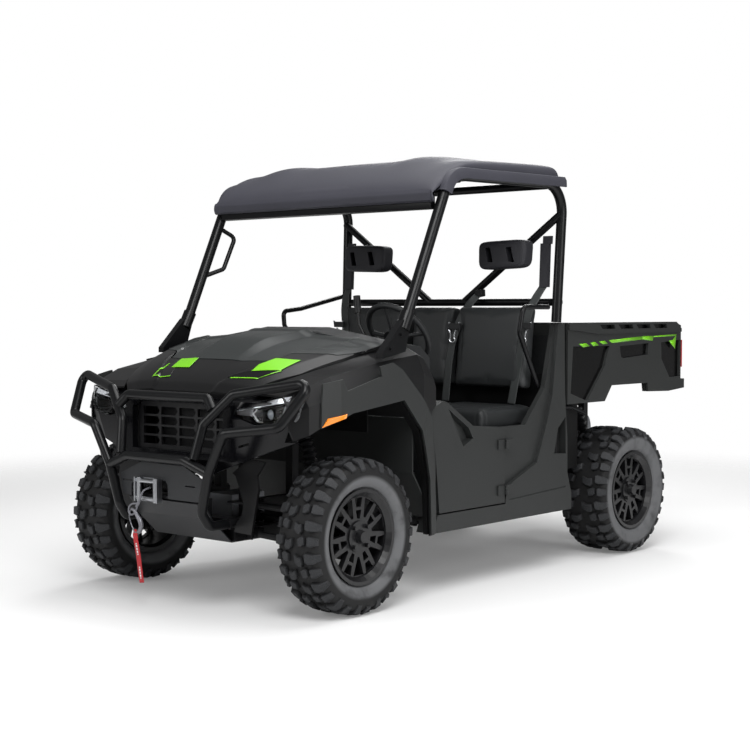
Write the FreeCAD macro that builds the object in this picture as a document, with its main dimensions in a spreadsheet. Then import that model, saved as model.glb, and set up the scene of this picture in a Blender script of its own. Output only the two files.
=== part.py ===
# Side by side utility vehicle. Millimetres. X forward, Y to the vehicle's left, Z up.
# The origin is on the ground under the middle of the vehicle's outline.
import FreeCAD, Part
import Sketcher
import math
import os
import re
from types import SimpleNamespace

Vector = FreeCAD.Vector
Rotation = FreeCAD.Rotation
Placement = FreeCAD.Placement

# Driving dimensions: name, value in millimetres, or degrees for angles and a plain count.
SIZES = [
    # wheels and running gear
    ("frontAxle", 1180), ("wheelbase", 2159), ("halfWidth", 775),
    ("tyreRadius", 330), ("frontTyreWidth", 229), ("rearTyreWidth", 279),
    ("lugDepth", 17), ("lugPairs", 18), ("tyreSides", 36),
    ("rimRadius", 190), ("rimLip", 12), ("rimFace", 26), ("barrelWall", 6), ("spokeCount", 7),
    ("boltCircle", 156), ("boltCount", 4), ("hubRadius", 52),
    ("kingpinLine", 575), ("kingpinRadius", 14), ("armRadius", 15), ("shockRadius", 34),
    ("discRadius", 105), ("discThick", 5), ("runningGap", 0.5),
    # body sides, sill and floor
    ("bodyHalf", 700), ("sillBottom", 276), ("floorLevel", 356), ("panelWall", 6),
    ("sideDepth", 46), ("fieldDepth", 20), ("cabFront", 760), ("doorRear", 98), ("doorTop",
            722), ("panelGap", 7),
    ("cabRear", -440), ("floorWall", 8), ("tunnelHalf", 150), ("tunnelHeight", 110),
    # chassis
    ("railSpacing", 460), ("railSize", 50), ("railLevel", 290), ("skidWall", 5),
    ("frameFront", 1436), ("guardBeam", 1494), ("frameRear", -1560),
    # nose
    ("hoodRear", 906), ("hoodFront", 1500), ("hoodWall", 8), ("noseLevel", 925),
    ("hoodLevel", 1182), ("fasciaBottom", 580), ("fasciaWall", 5), ("grilleHalf", 290), ("grilleBottom",
            668),
    ("grilleTop", 876), ("grilleFace", 1500), ("cellPitch", 117), ("cellRise", 43.5), ("fenderHalf",
            740), ("coverWall", 9), ("fenderWall", 8), ("fenderRear", 640),
    # cage and roof
    ("cageTube", 25), ("copeGap", 0.3), ("cageBend", 140),
    ("headerLevel", 1880), ("headerFront", 535), ("hoopRear", -340), ("bedRailLevel", 1235),
    ("roofFront", 650), ("roofRear", -360), ("roofTop", 2002), ("roofWall", 10), ("roofHalf", 712),
    # seats and controls
    ("seatLevel", 700), ("seatFront", 130), ("seatWidth", 462), ("middleWidth", 294), ("cushionDepth",
            460),
    ("cushionThick", 105), ("backHeight", 485), ("backThick", 95), ("backRecline", 6),
    ("steerCentre", 360), ("steerRadius", 175),
    ("steerTube", 14), ("steerTilt", 38), ("steerLevel", 1168), ("steerReach", 480), ("columnRadius", 26),
    # guard and winch
    ("guardTube", 21), ("guardFront", 1652), ("winchWall", 6),
    # bed
    ("bedFront", -450), ("bedRear", -1647), ("bedHalf", 690), ("bedTop", 1212), ("bedFloor", 905),
    ("bedWall", 38), ("bedFloorWall", 22), ("bedSkirt", 803), ("gateWall", 36),
    ("tiltPinLevel", 820), ("tiltPinX", -1400), ("tiltPin", 14), ("gatePin", 5), ("hingePin",
            4), ("pinGap", 0.3), ("bedSideRear", -1590),
    ("slotCount", 4), ("hitchBore", 16), ("receiver", 64),
]

doc = FreeCAD.newDocument("SideBySide")
sheet = doc.addObject("Spreadsheet::Sheet", "Sizes")
for row, (alias, value) in enumerate(SIZES, 1):
    sheet.set("A%d" % row, alias)
    sheet.set("B%d" % row, str(value))
    sheet.setAlias("B%d" % row, alias)
doc.recompute()
d = SimpleNamespace(**{alias: float(sheet.get(alias)) for alias, value in SIZES})
rearAxle = d.frontAxle - d.wheelbase
NODES = []

NAMES = re.compile(r"\b[a-z][A-Za-z]*\b")
FUNCTIONS = {"sin", "cos", "tan", "sqrt", "deg", "min", "max"}


# ---- helpers -------------------------------------------------------------------------------
def bound(text):
    # A sheet expression from a plain one: every name becomes a cell's alias.
    return NAMES.sub(lambda m: m.group() if m.group() in FUNCTIONS else "Sizes." + m.group(), str(text))


def number(text):
    found = sheet.evalExpression(bound(text))
    return float(getattr(found, "Value", found))


def newBody(name):
    return doc.addObject("PartDesign::Body", name)


def plane(body, role):
    return next(f for f in body.Origin.OriginFeatures if f.Role == role)


def outline(body, name, role, offset, points):
    # A closed sketch whose every corner is held by two bound distances.
    sketch = body.newObject("Sketcher::SketchObject", name)
    sketch.AttachmentSupport = [(plane(body, role), "")]
    sketch.MapMode = "FlatFace"
    sketch.setExpression("AttachmentOffset.Base.z", bound(offset))
    corners = [Vector(number(u), number(w), 0) for u, w in points]
    count = len(corners)
    sketch.addGeometry([Part.LineSegment(corners[i], corners[(i + 1) % count]) for i in range(count)],
                       False)
    held = [Sketcher.Constraint("Coincident", i, 2, (i + 1) % count, 1) for i in range(count)]
    for i, corner in enumerate(corners):
        held.append(Sketcher.Constraint("DistanceX", -1, 1, i, 1, corner.x))
        held.append(Sketcher.Constraint("DistanceY", -1, 1, i, 1, corner.y))
    sketch.addConstraint(held)
    for i, (u, w) in enumerate(points):
        sketch.setExpression("Constraints[%d]" % (count + 2 * i), bound(u))
        sketch.setExpression("Constraints[%d]" % (count + 2 * i + 1), bound(w))
    return sketch


def feature(body, kind, name, sketch, length, back=False, both=False):
    made = body.newObject("PartDesign::" + kind, name)
    made.Profile = sketch
    made.setExpression("Length", bound(length))
    made.Reversed = back
    made.Midplane = both
    body.Tip = made
    return made


def sidePad(body, name, inner, depth, points):
    # XZ outline standing from y = inner out to y = inner + depth.
    sketch = outline(body, name + "Sketch", "XZ_Plane", "-(%s)" % inner, points)
    return feature(body, "Pad", name, sketch, depth, back=True)


def sideCut(body, name, outer, depth, points):
    # XZ outline cut from y = outer inward.
    sketch = outline(body, name + "Sketch", "XZ_Plane", "-(%s)" % outer, points)
    return feature(body, "Pocket", name, sketch, depth, back=True)


def crossPad(body, name, rear, depth, points):
    # YZ outline standing from x = rear forward by depth.
    sketch = outline(body, name + "Sketch", "YZ_Plane", rear, points)
    return feature(body, "Pad", name, sketch, depth)


def crossCut(body, name, rear, depth, points):
    sketch = outline(body, name + "Sketch", "YZ_Plane", rear, points)
    return feature(body, "Pocket", name, sketch, depth, back=True)


def planPad(body, name, low, depth, points):
    # XY outline standing from z = low up by depth.
    sketch = outline(body, name + "Sketch", "XY_Plane", low, points)
    return feature(body, "Pad", name, sketch, depth)


def planCut(body, name, low, depth, points):
    sketch = outline(body, name + "Sketch", "XY_Plane", low, points)
    return feature(body, "Pocket", name, sketch, depth, back=True)


def sideRod(body, name, inner, depth, x, z, radius):
    # Round bar along Y from y = inner out.
    sketch = outlineCircle(body, name + "Sketch", "XZ_Plane", "-(%s)" % inner, x, z, radius)
    return feature(body, "Pad", name, sketch, depth, back=True)


def sideBore(body, name, outer, depth, x, z, radius):
    sketch = outlineCircle(body, name + "Sketch", "XZ_Plane", "-(%s)" % outer, x, z, radius)
    return feature(body, "Pocket", name, sketch, depth, back=True)


def planRod(body, name, low, depth, x, y, radius):
    sketch = outlineCircle(body, name + "Sketch", "XY_Plane", low, x, y, radius)
    return feature(body, "Pad", name, sketch, depth)


def planBore(body, name, low, depth, x, y, radius):
    sketch = outlineCircle(body, name + "Sketch", "XY_Plane", low, x, y, radius)
    return feature(body, "Pocket", name, sketch, depth, back=True)


def box(u0, u1, w0, w1):
    return [(u0, w0), (u1, w0), (u1, w1), (u0, w1)]


def loftAlong(body, name, kind, role, sections):
    # sections: (offset, points) pairs, joined by straight-ruled faces
    sketches = [outline(body, "%sSection%d" % (name, i), role, at, points)
                for i, (at, points) in enumerate(sections)]
    made = body.newObject("PartDesign::" + kind, name)
    made.Profile = sketches[0]
    made.Sections = sketches[1:]
    made.Ruled = True
    body.Tip = made
    return made


def mirrored(source, name):
    other = doc.addObject("Part::Mirroring", name)
    other.Source = source
    other.Normal = Vector(0, 1, 0)
    return other


def node(label, *pieces):
    # One node: a single object, or a compound of solids that don't touch.
    made = pieces[0]
    if len(pieces) > 1:
        made = doc.addObject("Part::Compound", "Node_" + label)
        made.Links = list(pieces)
    made.Label = label
    NODES.append(made)
    return made


def solidFeature(name, shape):
    made = doc.addObject("Part::Feature", name)
    made.Shape = shape
    return made


def cylinder(start, end, radius):
    return Part.makeCylinder(radius, (end - start).Length, start, end - start)


def tube(points, radius, bend):
    # Straight runs joined by tangent arcs, swept with a round section.
    edges = []
    last = points[0]
    for before, corner, after in zip(points, points[1:], points[2:]):
        into = (corner - before).normalize()
        out = (after - corner).normalize()
        turn = into.getAngle(out)
        reach = bend * math.tan(turn / 2)
        start = corner - into * reach
        stop = corner + out * reach
        middle = corner + (out - into).normalize() * (bend / math.cos(turn / 2) - bend)
        edges.append(Part.LineSegment(last, start).toShape())
        edges.append(Part.Arc(start, middle, stop).toShape())
        last = stop
    edges.append(Part.LineSegment(last, points[-1]).toShape())
    path = Part.Wire(edges)
    first = (points[1] - points[0]).normalize()
    ring = Part.Wire([Part.Circle(points[0], first, radius).toShape()])
    return path.makePipeShell([ring], True, False)


def mirrorShape(shape):
    return shape.mirror(Vector(0, 0, 0), Vector(0, 1, 0))


def fused(shapes):
    return shapes[0].multiFuse(shapes[1:]).removeSplitter()


# ---- wheels --------------------------------------------------------------------------------
def polygonRing(sections, sides):
    # Flat-faced ring about Y from (y, radius) sections.
    wires = []
    for y, radius in sections:
        turns = [2 * math.pi * i / sides for i in range(sides)]
        points = [Vector(radius * math.sin(a), y, radius * math.cos(a)) for a in turns]
        wires.append(Part.makePolygon(points + points[:1]))
    return Part.makeLoft(wires, True, True)


def lugShape(corners, inner, outer, taper):
    # A tread block: four (y, angle) corners laid on the tangent plane, tapering between two heights.
    middleY = sum(y for y, a in corners) / 4
    middle = math.radians(sum(a for y, a in corners) / 4)
    out = Vector(math.sin(middle), 0, math.cos(middle))
    along = Vector(math.cos(middle), 0, -math.sin(middle))
    reach = max(abs(math.radians(a) - middle) for y, a in corners) * outer * taper
    outer = math.sqrt(outer ** 2 - reach ** 2)
    rings = []
    for height, scale in ((inner, 1.0), (outer, taper)):
        points = [out * height + along * (scale * outer * (math.radians(a) - middle))
                  + Vector(0, middleY + (y - middleY) * scale, 0) for y, a in corners]
        rings.append(Part.makePolygon(points + points[:1]))
    return Part.makeLoft(rings, True, True)


def tyreShape(width):
    # Sections run from the inner bead to the outer one; outward is +Y.
    half = width / 2
    tread = d.tyreRadius - d.lugDepth
    shoulder = tread - 22
    crown = half - 34
    bead = d.rimRadius + d.rimLip + 3
    carcass = polygonRing([(-half + 36, bead), (-half + 3, bead + 34), (-half, shoulder - 30),
                           (-crown, tread), (crown, tread), (half, shoulder - 30),
                           (half - 3, bead + 34), (half - 36, bead)], int(d.tyreSides))
    bore = Part.makeCylinder(d.rimRadius - d.runningGap, width, Vector(0, -half, 0), Vector(0, 1, 0))
    pitch = 360 / d.lugPairs
    # blocks of one pitch: y at the start and end, angle at the start and end, block length
    blocks = [
        (4, half * 0.52, 0.05, 0.32, 0.34),
        (half * 0.60, half - 2, 0.38, 0.50, 0.40),
        (-half * 0.52, -4, 0.82, 0.55, 0.34),
        (-half + 2, -half * 0.60, 1.0, 0.88, 0.40),
    ]
    lugs = []
    for i in range(int(d.lugPairs)):
        for y0, y1, a0, a1, length in blocks:
            corners = [(y0, (i + a0) * pitch), (y1, (i + a1) * pitch),
                       (y1, (i + a1 + length) * pitch), (y0, (i + a0 + length) * pitch)]
            outer = d.tyreRadius if abs(y0 + y1) < half else d.tyreRadius - 3
            inner = tread - 12 if abs(y0 + y1) < half else shoulder - 24
            lugs.append(lugShape(corners, inner, outer, 0.86))
    return carcass.cut(bore).multiFuse(lugs)


def rimShape(width):
    # Barrel with a ladder-spoked face; outward is +Y.
    half = width / 2
    lip = d.rimRadius + d.rimLip
    seat = d.rimRadius - 1
    outerSections = [(-half + 20, lip), (-half + 32, lip), (-half + 34, seat), (half - 34, seat),
                     (half - 32, lip), (half - 20, lip)]
    innerSections = [(-half + 19, lip - d.barrelWall - 14), (-half + 40, seat - d.barrelWall - 14),
                     (half - 40, seat - d.barrelWall - 14), (half - 19, lip - d.barrelWall - 8)]
    barrel = polygonRing(outerSections, 40).cut(polygonRing(innerSections, 40))
    face = half - 46
    web = polygonRing([(face - d.rimFace, seat - 6), (face, seat - 6)], 40)
    inside = seat - d.barrelWall - 12
    pitch = 2 * math.pi / d.spokeCount
    cuts = []
    # windows per spoke: start and end angle as shares of the pitch, inner and outer radius
    for a0, a1, r0, r1 in ((-0.17, 0.17, 0.44, 0.66), (-0.17, 0.17, 0.73, 0.97), (0.28, 0.72, 0.50,
            0.97)):
        for i in range(int(d.spokeCount)):
            centre = pitch * (i + (a0 + a1) / 2)
            spread = pitch * (a1 - a0) / 2
            inner = spread * (0.72 if a0 < 0 else 0.35)
            corners = [(r0 * inside, centre - inner), (r1 * inside, centre - spread),
                       (r1 * inside, centre + spread), (r0 * inside, centre + inner)]
            points = [Vector(r * math.sin(a), face - 2 * d.rimFace, r * math.cos(a)) for r, a in corners]
            cuts.append(Part.Face(Part.makePolygon(points + points[:1])).extrude(Vector(0, 3 * d.rimFace,
                    0)))
    web = web.cut(cuts[0].multiFuse(cuts[1:]))
    hub = Part.makeCylinder(d.hubRadius + 14, d.rimFace + 8, Vector(0, face - d.rimFace, 0), Vector(0, 1,
            0))
    nuts = []
    for i in range(int(d.boltCount)):
        turn = 2 * math.pi * (i + 0.5) / d.boltCount
        foot = Vector(d.boltCircle / 2 * 0.72 * math.sin(turn), face,
                      d.boltCircle / 2 * 0.72 * math.cos(turn))
        nuts.append(Part.makeCylinder(9, 24, foot, Vector(0, 1, 0)))
    cap = Part.makeCone(d.hubRadius * 0.62, d.hubRadius * 0.45, 34, Vector(0, face, 0), Vector(0, 1, 0))
    return barrel.fuse(web).multiFuse([hub, cap] + nuts)


def wheels():
    # corner name, axle x, tyre width, side
    corners = [("front_left", d.frontAxle, d.frontTyreWidth, 1), ("front_right", d.frontAxle,
            d.frontTyreWidth, -1),
               ("rear_left", rearAxle, d.rearTyreWidth, 1), ("rear_right", rearAxle, d.rearTyreWidth, -1)]
    for corner, x, width, side in corners:
        centre = Vector(x, side * (d.halfWidth - width / 2), d.tyreRadius)
        for kind, make in (("tyre", tyreShape), ("rim", rimShape)):
            shape = make(width)
            if side < 0:
                shape = mirrorShape(shape)
            piece = solidFeature(kind + "_" + corner, shape)
            piece.Placement = Placement(centre, Rotation())
            node(kind + "_" + corner, piece)


# ---- running gear --------------------------------------------------------------------------
def knuckleShape(width):
    # Upright with a disc and a stub that ends short of the rim's hub; outward is +Y, origin at the hub.
    face = width / 2 - 46 - d.rimFace
    upright = Part.makeBox(60, 34, 190, Vector(-30, face - 108, -95))
    stub = Part.makeCylinder(34, 66, Vector(0, face - 74 - 5, 0), Vector(0, 1, 0))
    disc = Part.makeCylinder(d.discRadius, d.discThick, Vector(0, face - 60, 0), Vector(0, 1, 0))
    steerArm = Part.makeBox(90, 22, 20, Vector(-110, face - 104, -60))
    pivot = d.halfWidth - width / 2 - d.kingpinLine
    boss = Part.makeCylinder(d.kingpinRadius, 96, Vector(0, -pivot, -48))
    web = Part.makeBox(24, pivot + face - 100, 60, Vector(-12, -pivot, -30))
    return fused([upright, stub, disc, steerArm, boss, web])


def knuckles():
    for side, word in ((1, "left"), (-1, "right")):
        shape = knuckleShape(d.frontTyreWidth)
        shape = shape if side > 0 else mirrorShape(shape)
        piece = solidFeature("Knuckle_" + word, shape)
        piece.Placement = Placement(Vector(d.frontAxle, side * (d.halfWidth - d.frontTyreWidth / 2),
                                           d.tyreRadius),
                                    Rotation())
        node("knuckle_" + word, piece)
    pieces = []
    for side in (1, -1):
        shape = knuckleShape(d.rearTyreWidth)
        shape = shape if side > 0 else mirrorShape(shape)
        piece = solidFeature("RearHub%s" % ("Left" if side > 0 else "Right"), shape)
        piece.Placement = Placement(Vector(rearAxle, side * (d.halfWidth - d.rearTyreWidth / 2),
                                           d.tyreRadius),
                                    Rotation())
        pieces.append(piece)
    node("rear_knuckles", *pieces)


def armRows():
    # x of the axle, spread of an arm's legs, heights at the frame and the ball joint: lower and upper arm
    for x, spread in ((d.frontAxle, 150), (rearAxle, 190)):
        for frameZ, ballZ in ((315, 262), (440, 398)):
            yield x, spread, frameZ, ballZ


def armBrackets():
    # two plates beside each arm bush, standing out from the frame rails
    plates = []
    start = d.railSpacing / 2 + 16
    for x, spread, frameZ, _ in armRows():
        for side in (1, -1):
            for way in (1, -1):
                for gap in (-37, 32):
                    low = start if side > 0 else -start - 44
                    plates.append(Part.makeBox(5, 44, 44, Vector(x + way * spread + gap, low,
                            frameZ - 22)))
    for low, high in shockLines():
        for gap in (-24, 19):
            plates.append(Part.makeBox(5, 36, 48, Vector(high.x + gap, high.y - 18, high.z - 16)))
    return plates


def shockLines():
    # lower and upper eye of each shock
    for x, spread, top in ((d.frontAxle, 150, 742), (rearAxle, 190, 770)):
        for side in (1, -1):
            yield Vector(x - spread * 0.4, side * 455, 456), Vector(x - 85, side * 330, top)


def suspension():
    arms = []
    bushY = d.railSpacing / 2 + d.railSize / 2 + 20
    for x, spread, frameZ, ballZ in armRows():
        for side in (1, -1):
            ball = Vector(x, side * d.kingpinLine, ballZ)
            pieces = [Part.makeCylinder(d.armRadius + 3, 36, ball - Vector(0, 0, 18))]
            for way in (1, -1):
                foot = Vector(x + way * spread, side * bushY, frameZ)
                inward = (foot - ball).normalize() * 16
                pieces.append(cylinder(foot, ball + inward, d.armRadius))
                pieces.append(Part.makeCylinder(d.armRadius + 4, 62, foot - Vector(31, 0, 0), Vector(1, 0,
                        0)))
            if frameZ > 400:
                low = Vector(x - spread * 0.4, side * 455, 456)
                for gap in (-24, 19):
                    pieces.append(Part.makeBox(5, 36, 64, low + Vector(gap, -18, -50)))
            arms.append(fused(pieces))
    node("suspension_arms", *[solidFeature("Arm%d" % i, s) for i, s in enumerate(arms)])
    node("shocks", *[solidFeature("Shock%d" % i, shockShape(low, high))
                     for i, (low, high) in enumerate(shockLines())])


def shockShape(low, high):
    # damper, rod and spring turned as one profile: distance along the shock and radius
    length = (high - low).Length
    profile = [(0, 0), (0, 14), (42, 14), (42, d.shockRadius), (50, d.shockRadius)]
    start, stop = 50, length - 44
    pitch = (stop - start) / 8
    for i in range(8):
        profile += [(start + pitch * (i + 0.15), d.shockRadius - 12), (start + pitch * (i + 0.5),
                d.shockRadius)]
    profile += [(stop, d.shockRadius - 12), (stop, d.shockRadius), (stop + 8, d.shockRadius), (stop + 8,
            12),
                (length, 12), (length, 0)]
    corners = [Vector(radius, 0, along) for along, radius in profile]
    turned = Part.Face(Part.makePolygon(corners + corners[:1])).revolve(Vector(), Vector(0, 0, 1), 360)
    turned.Placement = Placement(low, Rotation(Vector(0, 0, 1), high - low))
    eyes = [Part.makeCylinder(15, 36, end - Vector(18, 0, 0), Vector(1, 0, 0)) for end in (low, high)]
    return fused([turned] + eyes)


def driveline():
    body = newBody("Engine")
    planPad(body, "Block", "railLevel + 150", 220, box(-880, -520, -165, 165))
    planPad(body, "Head", "railLevel + 360", 90, box(-840, -600, -100, 100))
    node("engine", body)
    rear = newBody("RearGearcase")
    planPad(rear, "Case", "railLevel + 5", 135, [("frontAxle - wheelbase - 130", -110),
                                                 ("frontAxle - wheelbase + 150", -110),
                                    ("frontAxle - wheelbase + 150", 110), ("frontAxle - wheelbase - 130",
                                            110)])
    front = newBody("FrontGearcase")
    planPad(front, "Case", 310, 150, box("frontAxle - 100", "frontAxle + 100", -75, 75))
    node("gearcases", rear, front)
    shafts = []
    for x, inner in ((d.frontAxle, 80), (rearAxle, 115)):
        outer = d.kingpinLine - d.kingpinRadius - 2
        for side in (1, -1):
            z = d.tyreRadius + 20
            start = Vector(x, side * inner, z + 20)
            stop = Vector(x, side * outer, z - 10)
            run = stop - start
            shaft = cylinder(start, stop, 13)
            boots = [Part.makeCone(38, 22, 80, start, run), Part.makeCone(32, 20, 70, stop, run * -1)]
            shafts.append(solidFeature("HalfShaft", fused([shaft] + boots)))
    node("half_shafts", *shafts)
    muffler = solidFeature("Muffler", fused([
        Part.makeCylinder(85, 420, Vector(-1340, -210, 610), Vector(0, 1, 0)),
        tube([Vector(-1240, 120, 610), Vector(-1130, 120, 610), Vector(-1020, 60, 560), Vector(-880, 60,
                560)], 22, 60)]))
    node("exhaust", muffler)


# ---- chassis -------------------------------------------------------------------------------
def mainFrame():
    rail = d.railSize
    post = rail - 10
    half = d.railSpacing / 2
    low = d.railLevel
    pieces = armBrackets()
    for side in (1, -1):
        inside = side * half - post / 2
        pieces.append(Part.makeBox(d.frameFront - d.frameRear, rail, rail,
                                   Vector(d.frameRear, side * half - rail / 2, low)))
        # uprights: x, top
        for x, top in ((d.frameFront - post, 394), (1330, 800), (1040, 900), (-500, 860), (-1330, 860)):
            pieces.append(Part.makeBox(post, post, top - low, Vector(x, inside, low)))
        pieces.append(Part.makeBox(960, post, post, Vector(-1420, inside, 820)))
        # upper side rails that carry the upper arms
        pieces.append(Part.makeBox(850, post, post, Vector(-1330, inside, 420)))
        pieces.append(Part.makeBox(330, post, post, Vector(1020, inside, 420)))
        pieces.append(Part.makeBox(24, 30, 90, Vector(d.guardBeam - 24, side * 135 - 15, 380)))
    # cross members: x, height
    for x, z in ((1420 - post, low), (1000, low), (560, low), (80, low), (-420, low), (-1250, low),
                 (-1500, low),
                 (1330, 760), (1040, 860), (-500, 820), (-1330, 820)):
        pieces.append(Part.makeBox(post, 2 * half, post, Vector(x, -half, z)))
    for x, top in ((1070, 760), (-1110, 788)):
        pieces.append(Part.makeBox(rail, 720, post, Vector(x, -360, top)))
    pieces.append(Part.makeBox(64, 576, 42, Vector(d.guardBeam - 64, -288, 352)))
    pieces.append(Part.makeBox(100, 300, 12, Vector(d.guardBeam - 24, -150, 458)))
    pieces.append(cylinder(Vector(d.tiltPinX, -half - 40, d.tiltPinLevel),
                           Vector(d.tiltPinX, half + 40, d.tiltPinLevel), d.tiltPin))
    node("main_frame", solidFeature("MainFrame", fused(pieces)))


def skidPlate():
    body = newBody("SkidPlate")
    sidePad(body, "Plate", "-(railSpacing / 2 + 10)", "railSpacing + 20", [
        (-1100, "railLevel - skidWall"), (1440, "railLevel - skidWall"), (1555, "railLevel + 100"),
        (1600, "railLevel + 170"), (1594, "railLevel + 173"), (1548, "railLevel + 103"),
        (1437, "railLevel - 1"), (-1100, "railLevel - 1")])
    node("skid_plate", body)


def floorAndSills():
    body = newBody("Floor")
    sidePad(body, "Pan", "-(bodyHalf - 10)", "2 * (bodyHalf - 10)", [
        ("seatFront - 38", "floorLevel - floorWall"), ("cabFront - 120", "floorLevel - floorWall"),
        ("cabFront + 20", 560), ("cabFront + 20", 800), ("cabFront + 12", 800), ("cabFront + 12", 562),
        ("cabFront - 124", "floorLevel"), ("seatFront - 38", "floorLevel")])
    crossPad(body, "Tunnel", "seatFront - 38", "cabFront - seatFront - 60", box("-tunnelHalf",
            "tunnelHalf",
             "floorLevel - 4", "floorLevel + tunnelHeight"))
    for name, y in (("Left", "bodyHalf - 96"), ("Right", "-bodyHalf")):
        sidePad(body, "Sill" + name, y, 96, [
            ("cabRear - 35", "sillBottom"), ("fenderRear + 4", "sillBottom"), ("fenderRear - 30",
                    "floorLevel"),
            ("cabRear - 35", "floorLevel")])
    node("floor", body)


def seatBase():
    body = newBody("SeatBase")
    planPad(body, "Box", "floorLevel", "seatLevel - floorLevel - 8", box("cabRear + 20", "seatFront - 40",
            "-(bodyHalf - sideDepth - 12)", "bodyHalf - sideDepth - 12"))
    planCut(body, "Hollow", "floorLevel - 1", "seatLevel - floorLevel - 18", box("cabRear - 10",
            "seatFront - 50",
            "-(bodyHalf - sideDepth - 22)", "bodyHalf - sideDepth - 22"))
    crossPad(body, "RearWall", "cabRear + 10", 10, box("-(bodyHalf - sideDepth - 12)",
                                                       "bodyHalf - sideDepth - 12",
             "floorLevel", 1150))
    node("seat_base", body)


def sidePanels():
    # the seat-side field lies deeper than the outer post and sill
    body = newBody("SidePanelLeft")
    field = [("doorRear - panelGap + 1", "floorLevel - 1"), ("doorRear - panelGap + 1", 372), (68, 443),
             (-169, 533),
             (-253, 722), (-301, 859), (-349, "bedTop + 1"), (-349, "bedTop + 60"),
             ("doorRear - panelGap + 1", "bedTop + 60")]
    sidePad(body, "Panel", "bodyHalf - sideDepth", "sideDepth", [
        ("doorRear - panelGap", "floorLevel"), ("doorRear - panelGap", "doorTop"), ("doorRear - 192",
                "doorTop - 1"),
        (-262, 894), (-345, "bedTop"), (-404, "bedTop"), (-412, 855), (-436, 640), (-438, 462),
        ("cabRear - 35", "floorLevel")])
    sideCut(body, "Field", "bodyHalf + 1", "fieldDepth + 1", field)
    sideCut(body, "PostHollow", "bodyHalf - panelWall", 60, [
        (52, "floorLevel - 5"), (56, 425), (-180, 515), (-266, 716), (-314, 859), (-356, "bedTop - 40"),
        (-396, "bedTop - 40"), (-404, 855), (-426, 640), (-428, 462), (-440, "floorLevel - 5")])
    sideCut(body, "FieldHollow", "bodyHalf - fieldDepth - panelWall", 60, [
        ("doorRear - panelGap - 12", 400), ("doorRear - panelGap - 12", "doorTop - 12"), (-104,
                "doorTop - 14"),
        (-262, 850), (-240, 722), (-160, 545), (60, 455)])
    sideCut(body, "Vent", "bodyHalf + 5", 60, [(-418, 743), (-422, 560), (-318, 566), (-352, 690)])
    # sill step line and foot flare at the rear
    sideCut(body, "SillGroove", "bodyHalf + 1", 4, [(60, 372), (60, 378), (-420, 398), (-420, 392)])
    for i, z in enumerate((425, 642)):
        hingeLeaf(body, "Leaf%d" % i, z, "doorRear - 58", "doorRear - 9")
        for k, low in enumerate((-22, 9)):
            sidePad(body, "Tongue%d%d" % (i, k), "bodyHalf - 1", 9, box("doorRear - 20", "doorRear - 4",
                    "%d + %d" % (z, low), "%d + %d + 13" % (z, low)))
            planRod(body, "Barrel%d%d" % (i, k), "%d + %d" % (z, low), 13, "doorRear + 2",
                    "bodyHalf + 12", 9)
        planRod(body, "Pin%d" % i, z - 22, 44, "doorRear + 2", "bodyHalf + 12", "hingePin")
    node("side_panels", body, mirrored(body, "SidePanelRight"))


def hingeLeaf(body, name, z, start, stop):
    sidePad(body, name, "bodyHalf - 1", 9, box(start, stop, z - 22, z + 22))


def doors():
    body = newBody("DoorLeft")
    points = [("doorRear", "floorLevel + panelGap"), ("doorRear", "doorTop"), (347, "doorTop + 20"),
              (540, 858), (572, 868), (668, 828), ("fenderRear - panelGap - 10", 595),
              ("fenderRear - 42", "floorLevel + panelGap")]
    sidePad(body, "Skin", "bodyHalf - sideDepth", "sideDepth", points)
    inner = [("doorRear + 14", "floorLevel + panelGap + 14"), ("doorRear + 14", "doorTop - 14"),
             (340, "doorTop + 4"), (538, 838), (570, 850), (648, 812), ("fenderRear - panelGap - 28",
                     595),
             ("fenderRear - 58", "floorLevel + panelGap + 14")]
    sideCut(body, "Hollow", "bodyHalf - panelWall", 60, inner)
    sidePad(body, "HandPocket", "bodyHalf - 40", 38, [
        (538, 836), (500, 816), (380, 744), (340, 686), (424, 642), (456, 688), (498, 762)])
    sideCut(body, "HandHollow", "bodyHalf + 2", 38, [
        (532, 828), (502, 808), (386, 738), (349, 685), (423, 652), (449, 692), (491, 765)])
    # hinge: a leaf, a tongue and a bored barrel at each level
    for i, z in enumerate((425, 642)):
        hingeLeaf(body, "Leaf%d" % i, z, "doorRear + 12", "doorRear + 62")
        sidePad(body, "Tongue%d" % i, "bodyHalf - 1", 9, box("doorRear + 6", "doorRear + 20", z - 8,
                z + 8))
        planRod(body, "Barrel%d" % i, z - 8, 16, "doorRear + 2", "bodyHalf + 12", 9)
        planBore(body, "PinHole%d" % i, z - 9, 18, "doorRear + 2", "bodyHalf + 12", "hingePin + pinGap")
    node("door_left", body)
    node("door_right", mirrored(body, "DoorRight"))


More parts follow.
